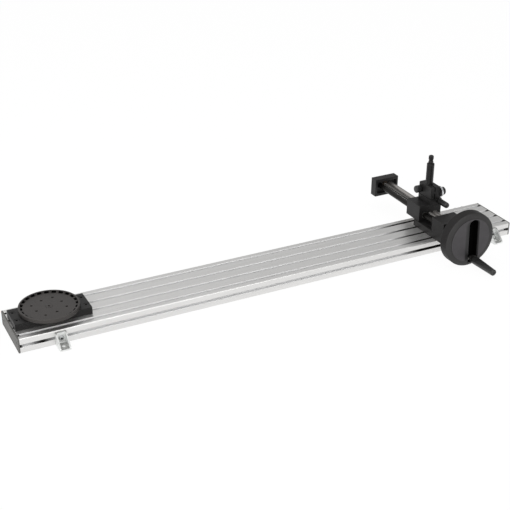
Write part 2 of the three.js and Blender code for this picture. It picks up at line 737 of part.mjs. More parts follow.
put('turntable_base', turntableBase(), 'black');
for (const [i, sx] of [-1, 1].entries()) {
  for (const [j, sy] of [-1, 1].entries()) {
    const x = TT_X + sx * TT_SCREW_X;
    const y = sy * PITCH / 2;
    const n = 2 * i + j + 1;
    put(`turntable_screw_${n}`, plateScrew(x, y, TT_BASE_TOP - 0.4, 29), 'black');
    put(`turntable_tnut_${n}`, tNut(x, y, RAIL_H, 0), 'zinc');
  }
}
put('turntable_race', turntableRace(), 'liner');
put('turntable_disc', turntableDisc(), 'disc');
put('turntable_pivot', turntablePivot(), 'disc');

put('carriage_plate', carriagePlate(), 'black');
GLIDE_Y.forEach((y, i) => put(`carriage_glide_${i + 1}`, glide(y), 'liner'));
let screwCount = 0;
for (const sx of [-1, 1]) {
  for (const y of PLATE_SCREW_Y) {
    screwCount += 1;
    put(`carriage_screw_${screwCount}`, sunkScrew(CAR_X + sx * PLATE_SCREW_DX, y), 'black');
  }
}
put('front_support', frontSupport(), 'black');
put('end_support', endSupport(), 'black');
for (const [s, side] of [[-1, 'left'], [1, 'right']]) {
  const centre = [CAR_X + s * SHAFT_DX, 0, SHAFT_Z];
  put(`guide_shaft_${side}`, rod('y', centre, SHAFT_R, SHAFT_Y0, SHAFT_Y1), 'shaft');
}
put('screw_bearing', screwRing(13, CAR_Y0 + 0.4, CAR_Y0 + 11.6), 'steel');
put('screw_end_bush', screwRing(8, END_Y0 + 10.4, END_Y1 - 8.4), 'bronze');

put('lead_screw', leadScrew(), 'steel');
put('wheel_hub', wheelHub(), 'black');
put('handwheel', handwheel(), 'plastic');
put('crank_pin', crankPin(), 'steel');
put('crank_arm', crankArm(), 'black');
put('crank_grip', crankGrip(), 'grip');

put('slide_block', slideBlock(), 'black');
for (const [s, side] of [[-1, 'left'], [1, 'right']]) {
  put(`bush_${side}_front`, bush(s, BLOCK_Y0 + 0.2), 'liner');
  put(`bush_${side}_back`, bush(s, BLOCK_Y1 - 0.2 - BUSH_L), 'liner');
}
const nutY = (BLOCK_Y0 + BLOCK_Y1) / 2 - 11;
put('screw_nut', screwRing(NUT_R, nutY, nutY + 24), 'bronze');
put('clamp_riser', riser(), 'black');
put('clamp_block', clampBlock(), 'black');
put('clamp_front_knob', frontKnob(), 'grip');
put('clamp_washer', frontWasher(), 'zinc');
put('clamp_rear_knob', rearKnob(), 'grip');
put('slide_lock_grip', lockGrip(), 'grip');
put('post', post(), 'black');
put('post_spigot', spigot(), 'black');

export default group;
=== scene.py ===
"""Camera slider: the visible pieces, their finishes, the studio and the camera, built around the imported
CAD frame. Metres, +Z up, +X along the rail towards the carriage. Places and sizes come from the frame."""

import json
import math

import bmesh
import bpy
from mathutils import Matrix, Vector


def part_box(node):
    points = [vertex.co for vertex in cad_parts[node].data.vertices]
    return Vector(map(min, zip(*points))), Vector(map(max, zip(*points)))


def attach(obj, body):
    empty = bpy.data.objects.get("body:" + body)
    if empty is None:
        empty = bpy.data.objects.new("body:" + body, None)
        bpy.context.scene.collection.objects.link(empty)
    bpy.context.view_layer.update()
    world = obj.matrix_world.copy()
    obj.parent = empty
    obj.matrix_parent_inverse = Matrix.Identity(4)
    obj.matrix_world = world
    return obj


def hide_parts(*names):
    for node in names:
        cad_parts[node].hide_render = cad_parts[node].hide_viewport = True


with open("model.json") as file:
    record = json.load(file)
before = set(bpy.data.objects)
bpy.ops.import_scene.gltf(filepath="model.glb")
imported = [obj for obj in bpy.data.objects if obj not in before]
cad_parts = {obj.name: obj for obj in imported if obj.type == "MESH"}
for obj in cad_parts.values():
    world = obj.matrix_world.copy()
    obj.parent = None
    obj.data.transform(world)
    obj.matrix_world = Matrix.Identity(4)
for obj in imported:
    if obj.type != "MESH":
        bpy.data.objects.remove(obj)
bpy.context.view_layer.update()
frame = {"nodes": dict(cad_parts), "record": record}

MM = 0.001
ROUND = 96
AXES = {"x": (1, 2, 0), "y": (2, 0, 1), "z": (0, 1, 2)}


# ---- mesh helpers ---------------------------------------------------------------------------
def middle(node):
    low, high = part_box(node)
    return (low + high) / 2


def put(axis, centre, a, b, along):
    """Point at a, b across the named axis and at along on it, all from centre."""
    p = Vector(centre)
    for k, value in zip(AXES[axis], (a, b, along)):
        p[k] += value
    return p


def eased(corners, closed=False, steps=5):
    """Outline through corners (x, y, ease): each corner is rounded over a length of ease either side."""
    points = []
    count = len(corners)
    for i, (x, y, ease) in enumerate(corners):
        here = Vector((x, y))
        if ease <= 0 or (not closed and i in (0, count - 1)):
            points.append(here)
            continue
        back = Vector(corners[i - 1][:2]) - here
        on = Vector(corners[(i + 1) % count][:2]) - here
        reach = min(ease, 0.49 * back.length, 0.49 * on.length)
        start = here + back.normalized() * reach
        end = here + on.normalized() * reach
        for k in range(steps + 1):
            t = k / steps
            points.append(start * (1 - t) ** 2 + here * 2 * t * (1 - t) + end * t * t)
    return points


def turned(profile, axis, centre, steps=ROUND, flutes=0, depth=0.0, fluted_from=0.0):
    """Mesh turned about an axis. profile holds (radius, place) points, from axis to axis or round a loop.
    Rings wider than fluted_from get that many shallow flutes."""
    closed = (Vector(profile[0]) - Vector(profile[-1])).length < 1e-9
    bm = bmesh.new()
    rings = []
    for radius, along in profile[:-1] if closed else profile:
        if radius < 1e-7:
            rings.append([bm.verts.new(put(axis, centre, 0, 0, along))])
            continue
        ring = []
        for k in range(steps):
            t = 2 * math.pi * k / steps
            r = radius
            if flutes and radius > fluted_from:
                r -= depth * max(0.0, math.cos(flutes * t)) ** 0.7
            ring.append(bm.verts.new(put(axis, centre, r * math.cos(t), r * math.sin(t), along)))
        rings.append(ring)
    nexts = rings[1:] + (rings[:1] if closed else [])
    for one, two in zip(rings, nexts):
        if len(one) == len(two) == 1:
            continue
        for k in range(steps):
            corners = [one[k % len(one)], one[(k + 1) % len(one)], two[(k + 1) % len(two)], two[k % len(two)]]
            bm.faces.new(list(dict.fromkeys(corners)))
    bmesh.ops.recalc_face_normals(bm, faces=bm.faces)
    return bm


def rod(axis, centre, radius, start, end, steps=ROUND, ease=0.0):
    profile = [(0, start, 0), (radius, start, ease), (radius, end, ease), (0, end, 0)]
    return turned(eased(profile, steps=4), axis, centre, steps)


def brick(low, high, ease=0.0, steps=3):
    """Box with all its edges rounded."""
    bm = bmesh.new()
    bmesh.ops.create_cube(bm, size=1)
    low, high = Vector(low), Vector(high)
    for v in bm.verts:
        v.co = [(low[k] + high[k]) / 2 + v.co[k] * (high[k] - low[k]) for k in range(3)]
    if ease:
        bmesh.ops.bevel(bm, geom=bm.edges[:], offset=ease, segments=steps, profile=0.5, affect="EDGES")
    return bm


def mesh_of(bm, name="made"):
    mesh = bpy.data.meshes.new(name)
    bm.to_mesh(mesh)
    bm.free()
    return mesh


def swept(outline, holes, start, end):
    """Outline and holes drawn in (Y, Z), swept along X."""
    curve = bpy.data.curves.new("outline", "CURVE")
    curve.dimensions = "2D"
    curve.fill_mode = "BOTH"
    curve.extrude = (end - start) / 2
    for loop in [outline, *holes]:
        spline = curve.splines.new("POLY")
        spline.points.add(len(loop) - 1)
        for point, (y, z) in zip(spline.points, loop):
            point.co = (y, z, 0, 1)
        spline.use_cyclic_u = True
    holder = bpy.data.objects.new("outline", curve)
    bpy.context.scene.collection.objects.link(holder)
    graph = bpy.context.evaluated_depsgraph_get()
    mesh = bpy.data.meshes.new_from_object(holder.evaluated_get(graph))
    bpy.data.objects.remove(holder)
    bm = bmesh.new()
    bm.from_mesh(mesh)
    bpy.data.meshes.remove(mesh)
    for v in bm.verts:
        v.co = ((start + end) / 2 + v.co.z, v.co.x, v.co.y)
    bmesh.ops.remove_doubles(bm, verts=bm.verts, dist=1e-6)
    bmesh.ops.recalc_face_normals(bm, faces=bm.faces)
    return bm


def rectangle(half_w, half_h, corner):
    """Rounded rectangle about (0, 0) as outline corners."""
    return [(sx * half_w, sy * half_h, corner) for sx, sy in ((-1, -1), (1, -1), (1, 1), (-1, 1))]


def six_sided(axis, centre, across, start, end):
    corner = across / math.sqrt(3)
    return turned([(0, start), (corner, start), (corner, end), (0, end)], axis, centre, 6)


def combined(base, others, operation):
    """base mesh with the other meshes cut from it or joined to it."""
    holder = bpy.data.objects.new("base", mesh_of(base))
    bpy.context.scene.collection.objects.link(holder)
    tools = []
    for bm in others:
        tool = bpy.data.objects.new("tool", mesh_of(bm))
        bpy.context.scene.collection.objects.link(tool)
        tools.append(tool)
        step = holder.modifiers.new("step", "BOOLEAN")
        step.operation = operation
        step.solver = "EXACT"
        step.object = tool
    graph = bpy.context.evaluated_depsgraph_get()
    mesh = bpy.data.meshes.new_from_object(holder.evaluated_get(graph))
    for o in [holder, *tools]:
        bpy.data.objects.remove(o)
    bm = bmesh.new()
    bm.from_mesh(mesh)
    bpy.data.meshes.remove(mesh)
    bmesh.ops.remove_doubles(bm, verts=bm.verts, dist=2e-6)
    bmesh.ops.dissolve_limit(bm, angle_limit=math.radians(0.5), verts=bm.verts, edges=bm.edges)
    return bm


def cut(base, *others):
    return combined(base, others, "DIFFERENCE")


def joined(base, *others):
    return combined(base, others, "UNION")


def piece(name, bm, body, slot, *nodes, ease=0.0, smooth=35, finish=None):
    """Finished visible piece: it rides on a body, wears its slot's finish (or the finish given) and hides the
    CAD nodes it stands for.
    """
    made = bpy.data.objects.new(name, mesh_of(bm, name))
    bpy.context.scene.collection.objects.link(made)
    if ease:
        soft = made.modifiers.new("edges", "BEVEL")
        soft.width = ease
        soft.segments = 3
        soft.limit_method = "ANGLE"
        soft.angle_limit = math.radians(40)
        soft.use_clamp_overlap = True
        graph = bpy.context.evaluated_depsgraph_get()
        mesh = bpy.data.meshes.new_from_object(made.evaluated_get(graph))
        made.modifiers.clear()
        made.data = mesh
    made.data.materials.clear()
    made.data.materials.append(finish or FINISH[slot])
    for face in made.data.polygons:
        face.use_smooth = True
    made.data.set_sharp_from_angle(angle=math.radians(smooth))
    level = made.modifiers.new("normals", "WEIGHTED_NORMAL")
    level.keep_sharp = True
    level.weight = 80
    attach(made, body)
    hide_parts(*nodes)
    return made


def lined(made, finish, chosen):
    """Gives another finish to the faces of a piece that chosen(face) picks."""
    made.data.materials.append(finish)
    for face in made.data.polygons:
        if chosen(face):
            face.material_index = len(made.data.materials) - 1


# ---- finishes -------------------------------------------------------------------------------
class Tree:
    """Node tree of one material, with its shader and short ways to add nodes."""

    def __init__(self, name):
        self.material = bpy.data.materials.new(name)
        self.material.use_nodes = True
        self.nodes = self.material.node_tree.nodes
        self.links = self.material.node_tree.links
        self.nodes.clear()
        out = self.nodes.new("ShaderNodeOutputMaterial")
        self.shader = self.nodes.new("ShaderNodeBsdfPrincipled")
        self.links.new(self.shader.outputs[0], out.inputs[0])
        self.place = self.nodes.new("ShaderNodeTexCoord").outputs["Object"]

    def scaled(self, scale, centre):
        """Object coordinates from centre, times scale on each axis."""
        shift = self.nodes.new("ShaderNodeVectorMath")
        shift.operation = "SUBTRACT"
        shift.inputs[1].default_value = centre
        self.links.new(self.place, shift.inputs[0])
        times = self.nodes.new("ShaderNodeVectorMath")
        times.operation = "MULTIPLY"
        times.inputs[1].default_value = scale
        self.links.new(shift.outputs[0], times.inputs[0])
        return times.outputs[0]

    def noise(self, scale, detail):
        texture = self.nodes.new("ShaderNodeTexNoise")
        texture.inputs["Scale"].default_value = 1.0
        texture.inputs["Detail"].default_value = detail
        self.links.new(self.scaled(scale, (0, 0, 0)), texture.inputs["Vector"])
        return texture.outputs[0]

    def rings(self, scale, centre):
        texture = self.nodes.new("ShaderNodeTexWave")
        texture.wave_type = "RINGS"
        texture.rings_direction = "Z"
        texture.inputs["Scale"].default_value = scale
        texture.inputs["Distortion"].default_value = 0.4
        self.links.new(self.scaled((1, 1, 1), centre), texture.inputs["Vector"])
        return texture.outputs[1]

    def ranged(self, value, low, high, start=0.3, end=0.7):
        node = self.nodes.new("ShaderNodeMapRange")
        node.inputs["From Min"].default_value = start
        node.inputs["From Max"].default_value = end
        node.inputs["To Min"].default_value = low
        node.inputs["To Max"].default_value = high
        self.links.new(value, node.inputs["Value"])
        return node.outputs[0]

    def mixed(self, share, one, two):
        """Colour between one and two; each is an RGB tuple or a socket."""
        node = self.nodes.new("ShaderNodeMix")
        node.data_type = "RGBA"
        for socket, colour in ((node.inputs[6], one), (node.inputs[7], two)):
            if isinstance(colour, tuple):
                socket.default_value = (*colour, 1)
            else:
                self.links.new(colour, socket)
        self.links.new(share, node.inputs[0])
        return node.outputs[2]

    def edges(self, width):
        """Mask that is 1 on convex and concave edges and 0 on the flats."""
        soft = self.nodes.new("ShaderNodeBevel")
        soft.samples = 4
        soft.inputs["Radius"].default_value = width
        flat = self.nodes.new("ShaderNodeNewGeometry")
        dot = self.nodes.new("ShaderNodeVectorMath")
        dot.operation = "DOT_PRODUCT"
        self.links.new(soft.outputs[0], dot.inputs[0])
        self.links.new(flat.outputs["Normal"], dot.inputs[1])
        return self.ranged(dot.outputs["Value"], 1.0, 0.0, 0.75, 0.98)

    def within(self, centre, half, soft):
        """Mask that is 1 inside a box and fades to 0 over soft on each axis at its sides."""
        vector = self.scaled((1, 1, 1), centre)
        for operation, value in (("ABSOLUTE", None), ("SUBTRACT", half), ("DIVIDE", [-v for v in soft])):
            node = self.nodes.new("ShaderNodeVectorMath")
            node.operation = operation
            self.links.new(vector, node.inputs[0])
            if value is not None:
                node.inputs[1].default_value = value
            vector = node.outputs[0]
        split = self.nodes.new("ShaderNodeSeparateXYZ")
        self.links.new(vector, split.inputs[0])
        least = split.outputs[0]
        for other in split.outputs[1:]:
            node = self.nodes.new("ShaderNodeMath")
            node.operation = "MINIMUM"
            self.links.new(least, node.inputs[0])
            self.links.new(other, node.inputs[1])
            least = node.outputs[0]
        return self.ranged(least, 0.0, 1.0, 0.0, 1.0)

    def upward(self):
        """Mask that is 1 on faces that look up, where dirt settles."""
        face = self.nodes.new("ShaderNodeNewGeometry")
        split = self.nodes.new("ShaderNodeSeparateXYZ")
        self.links.new(face.outputs["Normal"], split.inputs[0])
        return self.ranged(split.outputs[2], 0.0, 1.0, 0.5, 0.9)

    def times(self, one, two):
        node = self.nodes.new("ShaderNodeMath")
        node.operation = "MULTIPLY"
        for socket, value in zip(node.inputs, (one, two)):
            if isinstance(value, float):
                socket.default_value = value
            else:
                self.links.new(value, socket)
        return node.outputs[0]

    def bump(self, height, strength, distance, under=None):
        node = self.nodes.new("ShaderNodeBump")
        node.inputs["Strength"].default_value = strength
        node.inputs["Distance"].default_value = distance
        self.links.new(height, node.inputs["Height"])
        if under is not None:
            self.links.new(under, node.inputs["Normal"])
        return node.outputs[0]

    def finished(self, colour, roughness, metallic, normal, specular=0.5):
        links = self.links
        links.new(colour, self.shader.inputs["Base Color"])
        links.new(roughness, self.shader.inputs["Roughness"])
        links.new(normal, self.shader.inputs["Normal"])
        self.shader.inputs["Metallic"].default_value = metallic
        self.shader.inputs["Specular IOR Level"].default_value = specular
        return self.material


def tint(colour, factor):
    return tuple(min(1.0, c * factor) for c in colour)


def extruded_aluminium():
    """Satin anodised extrusion: die lines along X, faint clouding, brighter edges."""
    t = Tree("extruded_aluminium")
    lines = t.noise((1.2, 1500, 1500), 4)
    broad = t.noise((0.9, 60, 60), 2)
    cloud = t.noise((6, 25, 25), 3)
    base = t.mixed(t.ranged(cloud, 0, 1), RAIL_COLOUR, tint(RAIL_COLOUR, 1.05))
    base = t.mixed(t.ranged(broad, 0.0, 0.35), base, tint(RAIL_COLOUR, 0.86))
    base = t.mixed(t.times(t.edges(0.5 * MM), 0.5), base, (0.95, 0.95, 0.95))
    rough = t.ranged(lines, 0.27, 0.40)
    return t.finished(base, rough, 0.9, t.bump(lines, 0.25, 0.00004))


def slot_skin():
    """Etched, undyed walls of the T-slots: matt and pale, with the same die lines. Painted shade makes them
    dark by the carriage's resting place and the left front foot, and at the rail's ends by the end caps."""
    t = Tree("slot_skin")
    lines = t.noise((1.2, 1500, 1500), 4)
    base = t.mixed(t.ranged(lines, 0, 1), tint(SLOT_COLOUR, 0.93), SLOT_COLOUR)
    # painted shade: near-black slot walls inside each listed stretch
    for stretch in PAINTED_SLOT_SHADE:
        base = t.mixed(t.within(*stretch), base, (0.02, 0.019, 0.018))
    rough = t.ranged(lines, 0.62, 0.78)
    return t.finished(base, rough, 0.0, t.bump(lines, 0.2, 0.00004))


def cast_metal():
    """Die-cast aluminium: fine pebbled skin, slight mottling, dirt on its upper faces, polished edges."""
    t = Tree("cast_metal")
    pebble = t.noise((1400, 1400, 1400), 4)
    cloud = t.noise((90, 90, 90), 4)
    base = t.mixed(t.ranged(cloud, 0, 1), (0.72, 0.73, 0.72), (0.86, 0.87, 0.86))
    dirt = t.ranged(t.noise((260, 260, 260), 4), 0.55, 1.0)
    base = t.mixed(t.times(t.upward(), dirt), base, (0.30, 0.30, 0.29))
    base = t.mixed(t.times(t.edges(0.8 * MM), 0.5), base, (0.96, 0.96, 0.95))
    rough = t.ranged(cloud, 0.42, 0.58)
    return t.finished(base, rough, 0.75, t.bump(pebble, 0.5, 0.00015))


def plated_steel(name, colour, low, high):
    """Plated or ground steel with soft blotches and a fine scratch grain."""
    t = Tree(name)
    grain = t.noise((900, 900, 900), 5)
    cloud = t.noise((120, 120, 120), 2)
    base = t.mixed(t.ranged(cloud, 0, 1), tint(colour, 0.88), colour)
    rough = t.ranged(grain, low, high)
    return t.finished(base, rough, 1.0, t.bump(grain, 0.2, 0.00005))


def ground_shaft(name, colour, low, high, far_shade=1.0):
    """Round bar running along Y: lengthwise polish, fine rings from grinding; painted shade darkens it behind
    the block.
    """
    t = Tree(name)
    polish = t.noise((700, 14, 700), 4)
    rings = t.noise((4, 2600, 4), 2)
    base = t.mixed(t.ranged(polish, 0, 1), tint(colour, 0.82), tint(colour, 1.12))
    # painted shade over the length behind the block
    if far_shade < 1:
        base = t.mixed(t.within(*PAINTED_SHAFT_SHADE), base, tint(colour, far_shade))
    rough = t.ranged(polish, low, high)
    return t.finished(base, rough, 0.9, t.bump(rings, 0.3, 0.00003))


def black_anodised(name, colour, low, high, worn, pebble_scale=1600.0, wear=0.4, metallic=0.05):
    """Blasted and anodised black metal: fine grain, handling haze, edges rubbed lighter."""
    t = Tree(name)
    grain = t.noise((pebble_scale,) * 3, 3)
    haze = t.noise((45, 45, 45), 4)
    rub = t.noise((260, 260, 260), 5)
    base = t.mixed(t.ranged(haze, 0, 1), tint(colour, 0.85), tint(colour, 1.2))
    mask = t.times(t.edges(0.7 * MM), t.ranged(rub, 0.15, 1.0))
    base = t.mixed(t.times(mask, wear), base, worn)
    rough = t.ranged(haze, low, high)
    return t.finished(base, rough, metallic, t.bump(grain, 0.35, 0.00008), 0.28)


def turned_disc():
    """Dark anodised disc with the fine rings that the lathe left."""
    t = Tree("turned_disc")
    rings = t.rings(900.0, tuple(middle("turntable_disc")))
    grain = t.noise((1300, 1300, 1300), 3)
    haze = t.noise((35, 35, 35), 4)
    base = t.mixed(t.ranged(haze, 0, 1), tint(DISC_COLOUR, 0.88), tint(DISC_COLOUR, 1.15))
    base = t.mixed(t.times(t.edges(0.6 * MM), 0.5), base, tint(DISC_COLOUR, 2.4))
    rough = t.ranged(haze, 0.42, 0.56)
    fine = t.bump(rings, 0.12, 0.00005)
    return t.finished(base, rough, 0.35, t.bump(grain, 0.25, 0.00006, fine))


def moulded_plastic(name, colour, low, high, pebble, strength, shine=0.5, deep=None):
    """Moulded plastic with a spark-eroded texture and a slightly rubbed edge; darker in the deep box."""
    t = Tree(name)
    skin = t.noise((pebble,) * 3, 4)
    haze = t.noise((30, 30, 30), 3)
    base = t.mixed(t.ranged(haze, 0, 1), tint(colour, 0.9), tint(colour, 1.12))
    base = t.mixed(t.times(t.edges(0.9 * MM), 0.35), base, tint(colour, 1.9))
    if deep:
        base = t.mixed(t.within(*deep), base, tint(colour, 0.12))
    rough = t.ranged(skin, low, high)
    return t.finished(base, rough, 0.0, t.bump(skin, strength, 0.00012), shine)


AXIS = middle("lead_screw")
WHEEL_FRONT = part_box("handwheel")[0].y
GROOVE_DX = 12 * MM
GROOVE_HALF = 13.6 * MM
GROOVE_DEPTH = 20.5 * MM
SCOOP_LEFT = 19 * MM
SCOOP_RIGHT = 4 * MM
SCOOP_DEPTH = 6 * MM
CRANK_RADIUS = 62 * MM
# centre, half sizes and fades of the box that is in the recess's shade
GROOVE_SHADE = (
    (AXIS.x + GROOVE_DX - 4.5 * MM, WHEEL_FRONT + GROOVE_DEPTH / 2 + 0.03 * MM, AXIS.z - 6 * MM),
    (GROOVE_HALF + 15 * MM, GROOVE_DEPTH / 2, CRANK_RADIUS + 3 * MM),
    (9 * MM, 0.25 * MM, 2 * MM),
)
RAIL_COLOUR = (0.725, 0.72, 0.71)
SLOT_COLOUR = (0.84, 0.84, 0.84)
RAIL_LOW, RAIL_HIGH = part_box("rail")
# centre, half sizes and fades of each stretch of painted shade in the slots: carriage, left front foot, end
# caps
PAINTED_SLOT_SHADE = [
    ((0.47, 0, 0.05), (0.10, 0.2, 0.1), (0.06, 0.01, 0.01)),
    ((-0.687, -0.08, 0.02), (0.035, 0.02, 0.01), (0.03, 0.002, 0.002)),
    ((RAIL_LOW.x, 0, 0), (0.007, 0.2, 0.1), (0.001, 0.01, 0.01)),
    ((RAIL_HIGH.x, 0, 0), (0.007, 0.2, 0.1), (0.001, 0.01, 0.01)),
]
# painted shade: the slide bars and the spindle are darker behind the block
PAINTED_SHAFT_SHADE = ((AXIS.x, 0.2, AXIS.z), (0.1, 0.2, 0.1), (0.01, 0.03, 0.01))
DISC_COLOUR = (0.042, 0.038, 0.036)
BLACK = (0.010, 0.0095, 0.0095)
FINISH = {
    "rail": extruded_aluminium(),
    "cap": moulded_plastic("cap_plastic", (0.10, 0.098, 0.092), 0.5, 0.65, 1200.0, 0.3),
    "casting": cast_metal(),
    "zinc": plated_steel("bright_zinc", (0.82, 0.83, 0.85), 0.16, 0.32),
    "black": black_anodised("black_anodised", BLACK, 0.40, 0.52, (0.10, 0.098, 0.095)),
    "disc": turned_disc(),
    "shaft": ground_shaft("ground_shaft", (0.72, 0.69, 0.66), 0.26, 0.40, 0.47),
    "steel": ground_shaft("ground_steel", (0.27, 0.26, 0.25), 0.28, 0.40, 0.5),
    "dark_steel": black_anodised(
        "blackened_steel", (0.011, 0.0105, 0.0105), 0.24, 0.36, (0.12, 0.118, 0.115), 1100.0, 0.4, 0.2
    ),
    "plastic": moulded_plastic(
        "wheel_plastic", (0.038, 0.035, 0.038), 0.42, 0.56, 1500.0, 0.45, 0.4, GROOVE_SHADE
    ),
    "grip": moulded_plastic("grip_plastic", (0.012, 0.012, 0.012), 0.30, 0.42, 700.0, 0.12),
    "bronze": plated_steel("bearing_bronze", (0.11, 0.080, 0.056), 0.35, 0.5),
    "liner": moulded_plastic("bearing_polymer", (0.05, 0.048, 0.045), 0.45, 0.6, 1000.0, 0.2),
}
PALE_SLOT = slot_skin()
DULL_ZINC = plated_steel("dull_zinc", (0.52, 0.53, 0.53), 0.60, 0.75)
BAR_FINISH = {
    # painted shade: the left bar is a near-black copy of the ground steel that the right bar wears
    "left": ground_shaft("painted_shade_left_shaft", (0.018, 0.017, 0.016), 0.28, 0.42),
    "right": FINISH["shaft"],
}
# painted shade: a darker copy of the wheel plastic for the rim, whose side faces away from the light
PAINTED_SHADE_RIM = moulded_plastic("painted_shade_rim_plastic", (0.008, 0.0073, 0.0073), 0.46, 0.60, 900.0, 0.25, 0.2)
SHOULDER_PLASTIC = moulded_plastic("shoulder_plastic", (0.020, 0.019, 0.019), 0.44, 0.58, 1200.0, 0.35, 0.35)
# painted shade: near-black lining for the faces deep in pockets and recesses
PAINTED_RECESS_SHADE = moulded_plastic("painted_recess_shade", (0.0015, 0.0015, 0.0015), 0.8, 0.95, 1300.0, 0.2, 0.02)
SLOT_OF = {row["node"]: row["material_slot"] for row in frame["record"]["subparts"]}
for node, shape in frame["nodes"].items():
    shape.data.materials.clear()
    shape.data.materials.append(FINISH[SLOT_OF[node]])


# ---- rail and feet --------------------------------------------------------------------------
SLOT_HALF = 4.1 * MM
SLOT_LIP = 4.5 * MM
SLOT_WIDE = 10 * MM
SLOT_SHOULDER = 7 * MM
SLOT_DEPTH = 12.2 * MM
SLOT_FLOOR = 4.8 * MM
SLOT_EDGE = 0.3 * MM
RAIL_CORNER = 3 * MM


def slot_points():
    """One T-slot: place along the face, depth into the profile, and how much that corner is eased."""
    half = [
        (SLOT_HALF, 0, 0.5 * MM), (SLOT_HALF, SLOT_LIP, 0.3 * MM), (SLOT_WIDE, SLOT_LIP, 0.5 * MM),
        (SLOT_WIDE, SLOT_SHOULDER, 0.5 * MM), (SLOT_FLOOR, SLOT_DEPTH, 0.6 * MM),
    ]
    return [(-u, d, e) for u, d, e in half] + [(u, d, e) for u, d, e in reversed(half)]


def rail_outline(width, height):
    """The profile's outline about its centre, four slots above and below and one in each side."""
    pitch = width / 4
    across = [(k + 0.5) * pitch for k in range(4)]
    sides = [
        ((-width / 2, -height / 2), (1, 0), across, width),
        ((width / 2, -height / 2), (0, 1), [height / 2], height),
        ((width / 2, height / 2), (-1, 0), across, width),
        ((-width / 2, height / 2), (0, -1), [height / 2], height),
    ]
    corners = []
    for (x, y), (dx, dy), places, length in sides:
        for place in places:
            for u, d, ease in slot_points():
                corners.append((x + dx * (place + u) - dy * d, y + dy * (place + u) + dx * d, ease))
        corners.append((x + dx * length, y + dy * length, RAIL_CORNER))
    return eased(corners, closed=True, steps=4)


def circle(x, y, radius):
    steps = ROUND // 2
    turns = [2 * math.pi * k / steps for k in range(steps)]
    return [Vector((x + radius * math.cos(t), y + radius * math.sin(t))) for t in turns]


def build_rail():
    low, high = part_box("rail")
    width, height = high.y - low.y, high.z - low.z
    centre = Vector((0, low.z + height / 2))
    outline = [p + centre for p in rail_outline(width, height)]
    cores = [circle((k - 1.5) * width / 4, centre.y, 3.4 * MM) for k in range(4)]
    chambers = []
    for k in (-1, 0, 1):
        loop = eased(rectangle(5 * MM, 13 * MM, 2 * MM), closed=True)
        chambers.append([p + centre + Vector((k * width / 4, 0)) for p in loop])
    profile = swept(outline, cores + chambers, low.x, high.x)
    rail = piece("slotted_profile", profile, "rail_base", "rail", "rail")

    def in_slot(face):
        c = face.center
        from_side = min(c.y - low.y, high.y - c.y)
        from_top = min(c.z - low.z, high.z - c.z)
        at_corner = from_side < RAIL_CORNER and from_top < RAIL_CORNER
        return abs(face.normal.x) < 0.5 and min(from_side, from_top) > SLOT_EDGE and not at_corner

    lined(rail, PALE_SLOT, in_slot)


def build_cap(side):
    """Moulded cap over a cut end, with a thin raised rim round a flat field."""
    node = f"end_cap_{side}"
    low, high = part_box(node)
    half_w, half_h = (high.y - low.y) / 2, (high.z - low.z) / 2
    centre = Vector(((low.y + high.y) / 2, (low.z + high.z) / 2))
    loop = [p + centre for p in eased(rectangle(half_w, half_h, RAIL_CORNER), closed=True, steps=8)]
    field = brick(
        (low.x - 2 * MM, low.y + 2.2 * MM, low.z + 2.2 * MM),
        (low.x + 0.7 * MM, high.y - 2.2 * MM, high.z - 2.2 * MM),
        0.6 * MM,
    )
    if side == "right":
        for v in field.verts:
            v.co.x = low.x + high.x - v.co.x
    screws = []
    outer = low.x if side == "left" else high.x
    for k in (-1.5, 1.5):
        hole = (0, centre.x + k * half_w / 2, centre.y)
        screws.append(rod("x", hole, 3.6 * MM, outer - 1.5 * MM, outer + 1.5 * MM, 32))
    plate = cut(swept(loop, [], low.x, high.x), field, *screws)
    piece(f"cap_{side}", plate, "rail_base", "cap", node, ease=0.45 * MM)
    for n, k in enumerate((-1.5, 1.5), 1):
        inward = 1 if side == "left" else -1
        at = (outer, centre.x + k * half_w / 2, centre.y)
        head = [
            (0, 2.2, 0), (3.4, 2.2, 0), (3.4, 0.6, 0.5), (2.6, 0.3, 0.3), (0, 0.3, 0),
        ]
        profile = [(r * MM, inward * s * MM) for r, s in eased(head)]
        socket = six_sided("x", at, 2.5 * MM, inward * -1 * MM, inward * 1.4 * MM)
        piece(f"cap_screw_{side}_{n}", cut(turned(profile, "x", at, 48), socket), "rail_base", "dark_steel")


FOOT_PLATE = 5 * MM
GUSSET = 4 * MM


def build_bracket(end, side):
    """Die-cast angle: foot and back plate between two gussets, with a bolt hole in each."""
    tag = f"{end}_{side}"
    low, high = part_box(f"bracket_{tag}")
    out = -1 if side == "front" else 1
    wall = high.y if side == "front" else low.y
    leg = high.y - low.y

    def at(d):
        return wall + out * d

    gusset = eased([
        (at(0), low.z, 0.6 * MM), (at(leg), low.z, 0.8 * MM),
        (at(leg), low.z + FOOT_PLATE + 1.5 * MM, 3 * MM),
        (at(FOOT_PLATE + 3 * MM), high.z, 6 * MM), (at(0), high.z, 0.6 * MM),
    ], closed=True)
    pocket = eased([
        (at(FOOT_PLATE), low.z + FOOT_PLATE, 3 * MM), (at(leg + 5 * MM), low.z + FOOT_PLATE, 0),
        (at(leg + 5 * MM), high.z + 9 * MM, 0), (at(FOOT_PLATE), high.z + 9 * MM, 0),
    ], closed=True)
    centre_x = (low.x + high.x) / 2
    hole = middle("bracket_bolt_" + tag)
    body = cut(
        swept(gusset, [], low.x, high.x),
        swept(pocket, [], low.x + GUSSET, high.x - GUSSET),
        rod("y", (hole.x, wall, hole.z), 4.4 * MM, -9 * MM, 9 * MM, 48),
        rod("z", (centre_x, at(22 * MM), low.z), 4.5 * MM, -2 * MM, FOOT_PLATE + 2 * MM, 48),
    )
    piece(f"foot_{tag}", body, "rail_base", "casting", f"bracket_{tag}", ease=0.6 * MM)
    build_bolt(tag, Vector((hole.x, wall, hole.z)), out)


